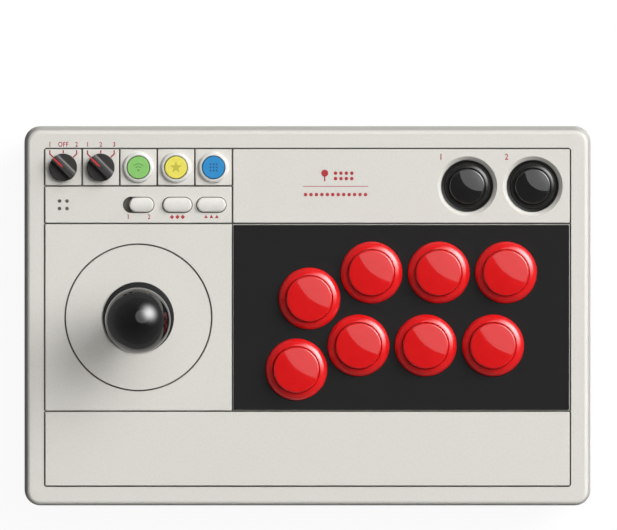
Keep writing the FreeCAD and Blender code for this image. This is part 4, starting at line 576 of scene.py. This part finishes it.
# Rings in the recesses of the player buttons
rings = bmesh.new()
for player in ("player_housing_one", "player_housing_two"):
    axis = middle(player).to_3d() + Vector((0, 0, top(player)))
    corners = [rings.verts.new(axis + Vector((radius, 0, level)) * MM) for radius, level in RING_PROFILE]
    loop = [rings.edges.new((corners[index - 1], corner)) for index, corner in enumerate(corners)]
    turn = {"cent": axis, "axis": (0, 0, 1), "angle": math.tau, "steps": RING_STEPS}
    bmesh.ops.spin(rings, geom=corners + loop, use_merge=True, **turn)
bmesh.ops.remove_doubles(rings, verts=rings.verts, dist=0.001 * MM)
bmesh.ops.recalc_face_normals(rings, faces=rings.faces)
recess_rings = carried("recess_rings", rings, ring_black, "case")
recess_rings.data.shade_smooth()
recess_rings.data.set_sharp_from_angle(angle=math.radians(SHARP_ANGLE))

# Lip of the dust washer
lip = bmesh.new()
bow(lip, middle("dust_washer"), LIP_RADIUS, LIP_WIDTH, sweep=360, steps=128)
lip_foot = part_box("dust_washer")[0].z + LIP_ROOM
printed("washer_lip", lip, lip_foot, LIP_THICK, FINISHES["washer_black"], "dust_washer")

# Pointer inlays of the dials
for dial in DIAL_LABELS:
    inlay = bmesh.new()
    turn = Matrix.Rotation(math.radians(POINTER_BEARING), 2)
    half = POINTER_WIDTH / 2
    outline = [
        (POINTER_INNER, -half),
        (POINTER_OUTER, -half),
        (POINTER_OUTER, half),
        (POINTER_INNER + POINTER_TAPER, half),
    ]
    spots = [middle(dial) + turn @ Vector(spot) for spot in outline]
    bmesh.ops.contextual_create(inlay, geom=[inlay.verts.new(spot.to_3d()) for spot in spots])
    printed(dial + "_pointer", inlay, top(dial) - POINTER_THICK, POINTER_THICK, pointer_red, dial)

# Signs on the three colour caps: bows over a spot, a star and a grid of spots
bows = bmesh.new()
foot = middle("pairing_cap") + Vector((0, ARC_FOOT))
dot(bows, foot, ARC_DOT)
for radius in ARC_RADII:
    bow(bows, foot, radius, ARC_STROKE)
printed("pairing_sign", bows, top("pairing_cap"), PRINT_THICK, green_sign, "pairing_button")

star = bmesh.new()
star_middle = middle("favourite_cap")
points = dot(star, star_middle, STAR_RADIUS, segments=10)
inward = Matrix.Translation(-star_middle.to_3d())
bmesh.ops.scale(star, verts=points[1::2], vec=(STAR_WAIST, STAR_WAIST, 1), space=inward)
printed("favourite_sign", star, top("favourite_cap"), PRINT_THICK, yellow_sign, "favourite_button")

spots = bmesh.new()
for column in (-1, 0, 1):
    for row in (-1, 0, 1):
        dot(spots, middle("profile_cap") + Vector((column, row)) * GRID_PITCH, GRID_DOT)
printed("profile_sign", spots, top("profile_cap"), PRINT_THICK, blue_sign, "profile_button")


# Stage: floor, lamps, sky and camera
def towards(bearing, off_zenith):
    """Direction to a lamp at an angle off the zenith, on a bearing."""
    tilt, turn = math.radians(off_zenith), math.radians(bearing)
    return Vector((math.sin(tilt) * math.cos(turn), math.sin(tilt) * math.sin(turn), math.cos(tilt)))


def joined(tree, operation, first, second):
    """Outcome of an operation on a socket and another socket or a number."""
    step = tree.nodes.new("ShaderNodeMath")
    step.operation = operation
    tree.links.new(first, step.inputs[0])
    if isinstance(second, float):
        step.inputs[1].default_value = second
    else:
        tree.links.new(second, step.inputs[1])
    return step.outputs["Value"]


def falling(tree, half):
    """Value that falls in a bell curve from one in the middle of an object to a half at a distance."""
    place = tree.nodes.new("ShaderNodeTexCoord")
    from_middle = tree.nodes.new("ShaderNodeVectorMath")
    from_middle.operation = "LENGTH"
    tree.links.new(place.outputs["Object"], from_middle.inputs[0])
    share = joined(tree, "DIVIDE", from_middle.outputs["Value"], half)
    power = joined(tree, "MULTIPLY", joined(tree, "POWER", share, 2.0), -math.log(2))
    return joined(tree, "EXPONENT", power, 0.0)


def floor():
    """Pale floor that shows white and keeps a soft shadow."""
    bm = bmesh.new()
    bmesh.ops.create_grid(bm, x_segments=1, y_segments=1, size=FLOOR_SIZE / 2)
    bmesh.ops.translate(bm, verts=bm.verts, vec=(0, 0, cad_low.z - PRINT_THICK))
    mesh = bpy.data.meshes.new("floor")
    bm.to_mesh(mesh)
    bm.free()
    material = bpy.data.materials.new("pale_floor")
    material.use_nodes = True
    tree = material.node_tree
    nodes, link = tree.nodes, tree.links.new
    nodes.clear()
    paint = nodes.new("ShaderNodeBsdfDiffuse")
    paint.inputs["Color"].default_value = (FLOOR_TONE, FLOOR_TONE, FLOOR_TONE, 1)
    rays = nodes.new("ShaderNodeLightPath").outputs
    mirrored = joined(tree, "MULTIPLY", rays["Is Glossy Ray"], FLOOR_HAZE)
    seen = joined(tree, "MAXIMUM", rays["Is Camera Ray"], rays["Is Transmission Ray"])
    shown = joined(tree, "MAXIMUM", seen, mirrored)
    glow = nodes.new("ShaderNodeEmission")
    link(joined(tree, "MULTIPLY", shown, FLOOR_LIFT), glow.inputs["Strength"])
    both = nodes.new("ShaderNodeAddShader")
    link(paint.outputs["BSDF"], both.inputs[0])
    link(glow.outputs["Emission"], both.inputs[1])
    out = nodes.new("ShaderNodeOutputMaterial")
    link(both.outputs["Shader"], out.inputs["Surface"])
    mesh.materials.append(material)
    ground = bpy.data.objects.new("floor", mesh)
    bpy.context.collection.objects.link(ground)


def disc_lamp(name, direction, half_angle, radiance, in_gloss):
    """Wide even disc in a direction, which shows in polished surfaces or only lights."""
    radius = LAMP_DISTANCE * math.tan(math.radians(half_angle))
    lamp = bpy.data.lights.new(name, "AREA")
    lamp.shape = "DISK"
    lamp.size = 2 * radius
    lamp.energy = radiance * math.pi * math.pi * radius**2
    holder = bpy.data.objects.new(name, lamp)
    holder.location = direction * LAMP_DISTANCE
    holder.rotation_euler = direction.to_track_quat("Z", "Y").to_euler()
    holder.visible_camera = False
    holder.visible_glossy = in_gloss
    bpy.context.collection.objects.link(holder)


def softbox(name, distance, radiance, in_diffuse):
    """Softbox at the back right that fades from its middle, which lights the part or only shines on it."""
    half = distance * math.tan(math.radians(KEY_HALF_ANGLE))
    direction = towards(KEY_BEARING, KEY_OFF_ZENITH)
    bm = bmesh.new()
    bmesh.ops.create_circle(bm, cap_ends=True, segments=64, radius=KEY_SPREAD * half)
    mesh = bpy.data.meshes.new(name)
    bm.to_mesh(mesh)
    bm.free()
    material = bpy.data.materials.new(name)
    material.use_nodes = True
    tree = material.node_tree
    tree.nodes.clear()
    glow = tree.nodes.new("ShaderNodeEmission")
    tree.links.new(joined(tree, "MULTIPLY", falling(tree, half), radiance), glow.inputs["Strength"])
    clear = tree.nodes.new("ShaderNodeBsdfTransparent")
    both = tree.nodes.new("ShaderNodeAddShader")
    tree.links.new(glow.outputs["Emission"], both.inputs[0])
    tree.links.new(clear.outputs["BSDF"], both.inputs[1])
    out = tree.nodes.new("ShaderNodeOutputMaterial")
    tree.links.new(both.outputs["Shader"], out.inputs["Surface"])
    mesh.materials.append(material)
    box = bpy.data.objects.new(name, mesh)
    box.location = direction * distance
    box.rotation_euler = direction.to_track_quat("Z", "Y").to_euler()
    box.visible_camera = False
    box.visible_diffuse = in_diffuse
    bpy.context.collection.objects.link(box)


def sky():
    """Surroundings that show white but light dimly, more in gloss and more from the horizon than overhead."""
    world = bpy.data.worlds.new("studio")
    bpy.context.scene.world = world
    world.use_nodes = True
    tree = world.node_tree
    nodes, link = tree.nodes, tree.links.new
    place = nodes.new("ShaderNodeTexCoord")
    height = nodes.new("ShaderNodeSeparateXYZ")
    link(place.outputs["Generated"], height.inputs["Vector"])
    fade = nodes.new("ShaderNodeMapRange")
    fade.inputs["To Min"].default_value = SKY_HORIZON
    fade.inputs["To Max"].default_value = SKY_ZENITH
    link(height.outputs["Z"], fade.inputs["Value"])
    rays = nodes.new("ShaderNodeLightPath").outputs
    share = joined(tree, "MAXIMUM", rays["Is Glossy Ray"], SKY_FILL)
    dim = joined(tree, "MULTIPLY", fade.outputs["Result"], share)
    seen = joined(tree, "MAXIMUM", rays["Is Camera Ray"], rays["Is Transmission Ray"])
    link(joined(tree, "MAXIMUM", dim, seen), nodes["Background"].inputs["Strength"])
    nodes["Background"].inputs["Color"].default_value = (1, 1, 1, 1)


def camera():
    """Long lens over the part, at the photograph's angle and framing."""
    lens = bpy.data.cameras.new("camera")
    lens.lens, lens.sensor_width = LENS, SENSOR
    distance = VIEW_WIDTH * LENS / SENSOR
    lens.clip_end = 2 * distance
    tip = math.radians(VIEW_TIP)
    eye = bpy.data.objects.new("camera", lens)
    eye.location = VIEW_AIM + distance * Vector((0, math.sin(tip), math.cos(tip)))
    eye.rotation_euler = (-tip, 0, 0)
    bpy.context.collection.objects.link(eye)
    bpy.context.scene.camera = eye


floor()
overhead = towards(DISC_BEARING, DISC_OFF_ZENITH)
in_front = towards(FRONT_BEARING, FRONT_OFF_ZENITH)
disc_lamp("overhead_disc", overhead, DISC_HALF_ANGLE, DISC_RADIANCE, True)
disc_lamp("overhead_fill", overhead, FILL_HALF_ANGLE, FILL_RADIANCE, False)
disc_lamp("front_fill", in_front, FRONT_HALF_ANGLE, FRONT_RADIANCE, False)
softbox("key_light", KEY_DISTANCE, KEY_RADIANCE, True)
softbox("key_shine", SHINE_DISTANCE, SHINE_RADIANCE, False)
sky()
camera()
bpy.context.scene.view_settings.view_transform = "Standard"
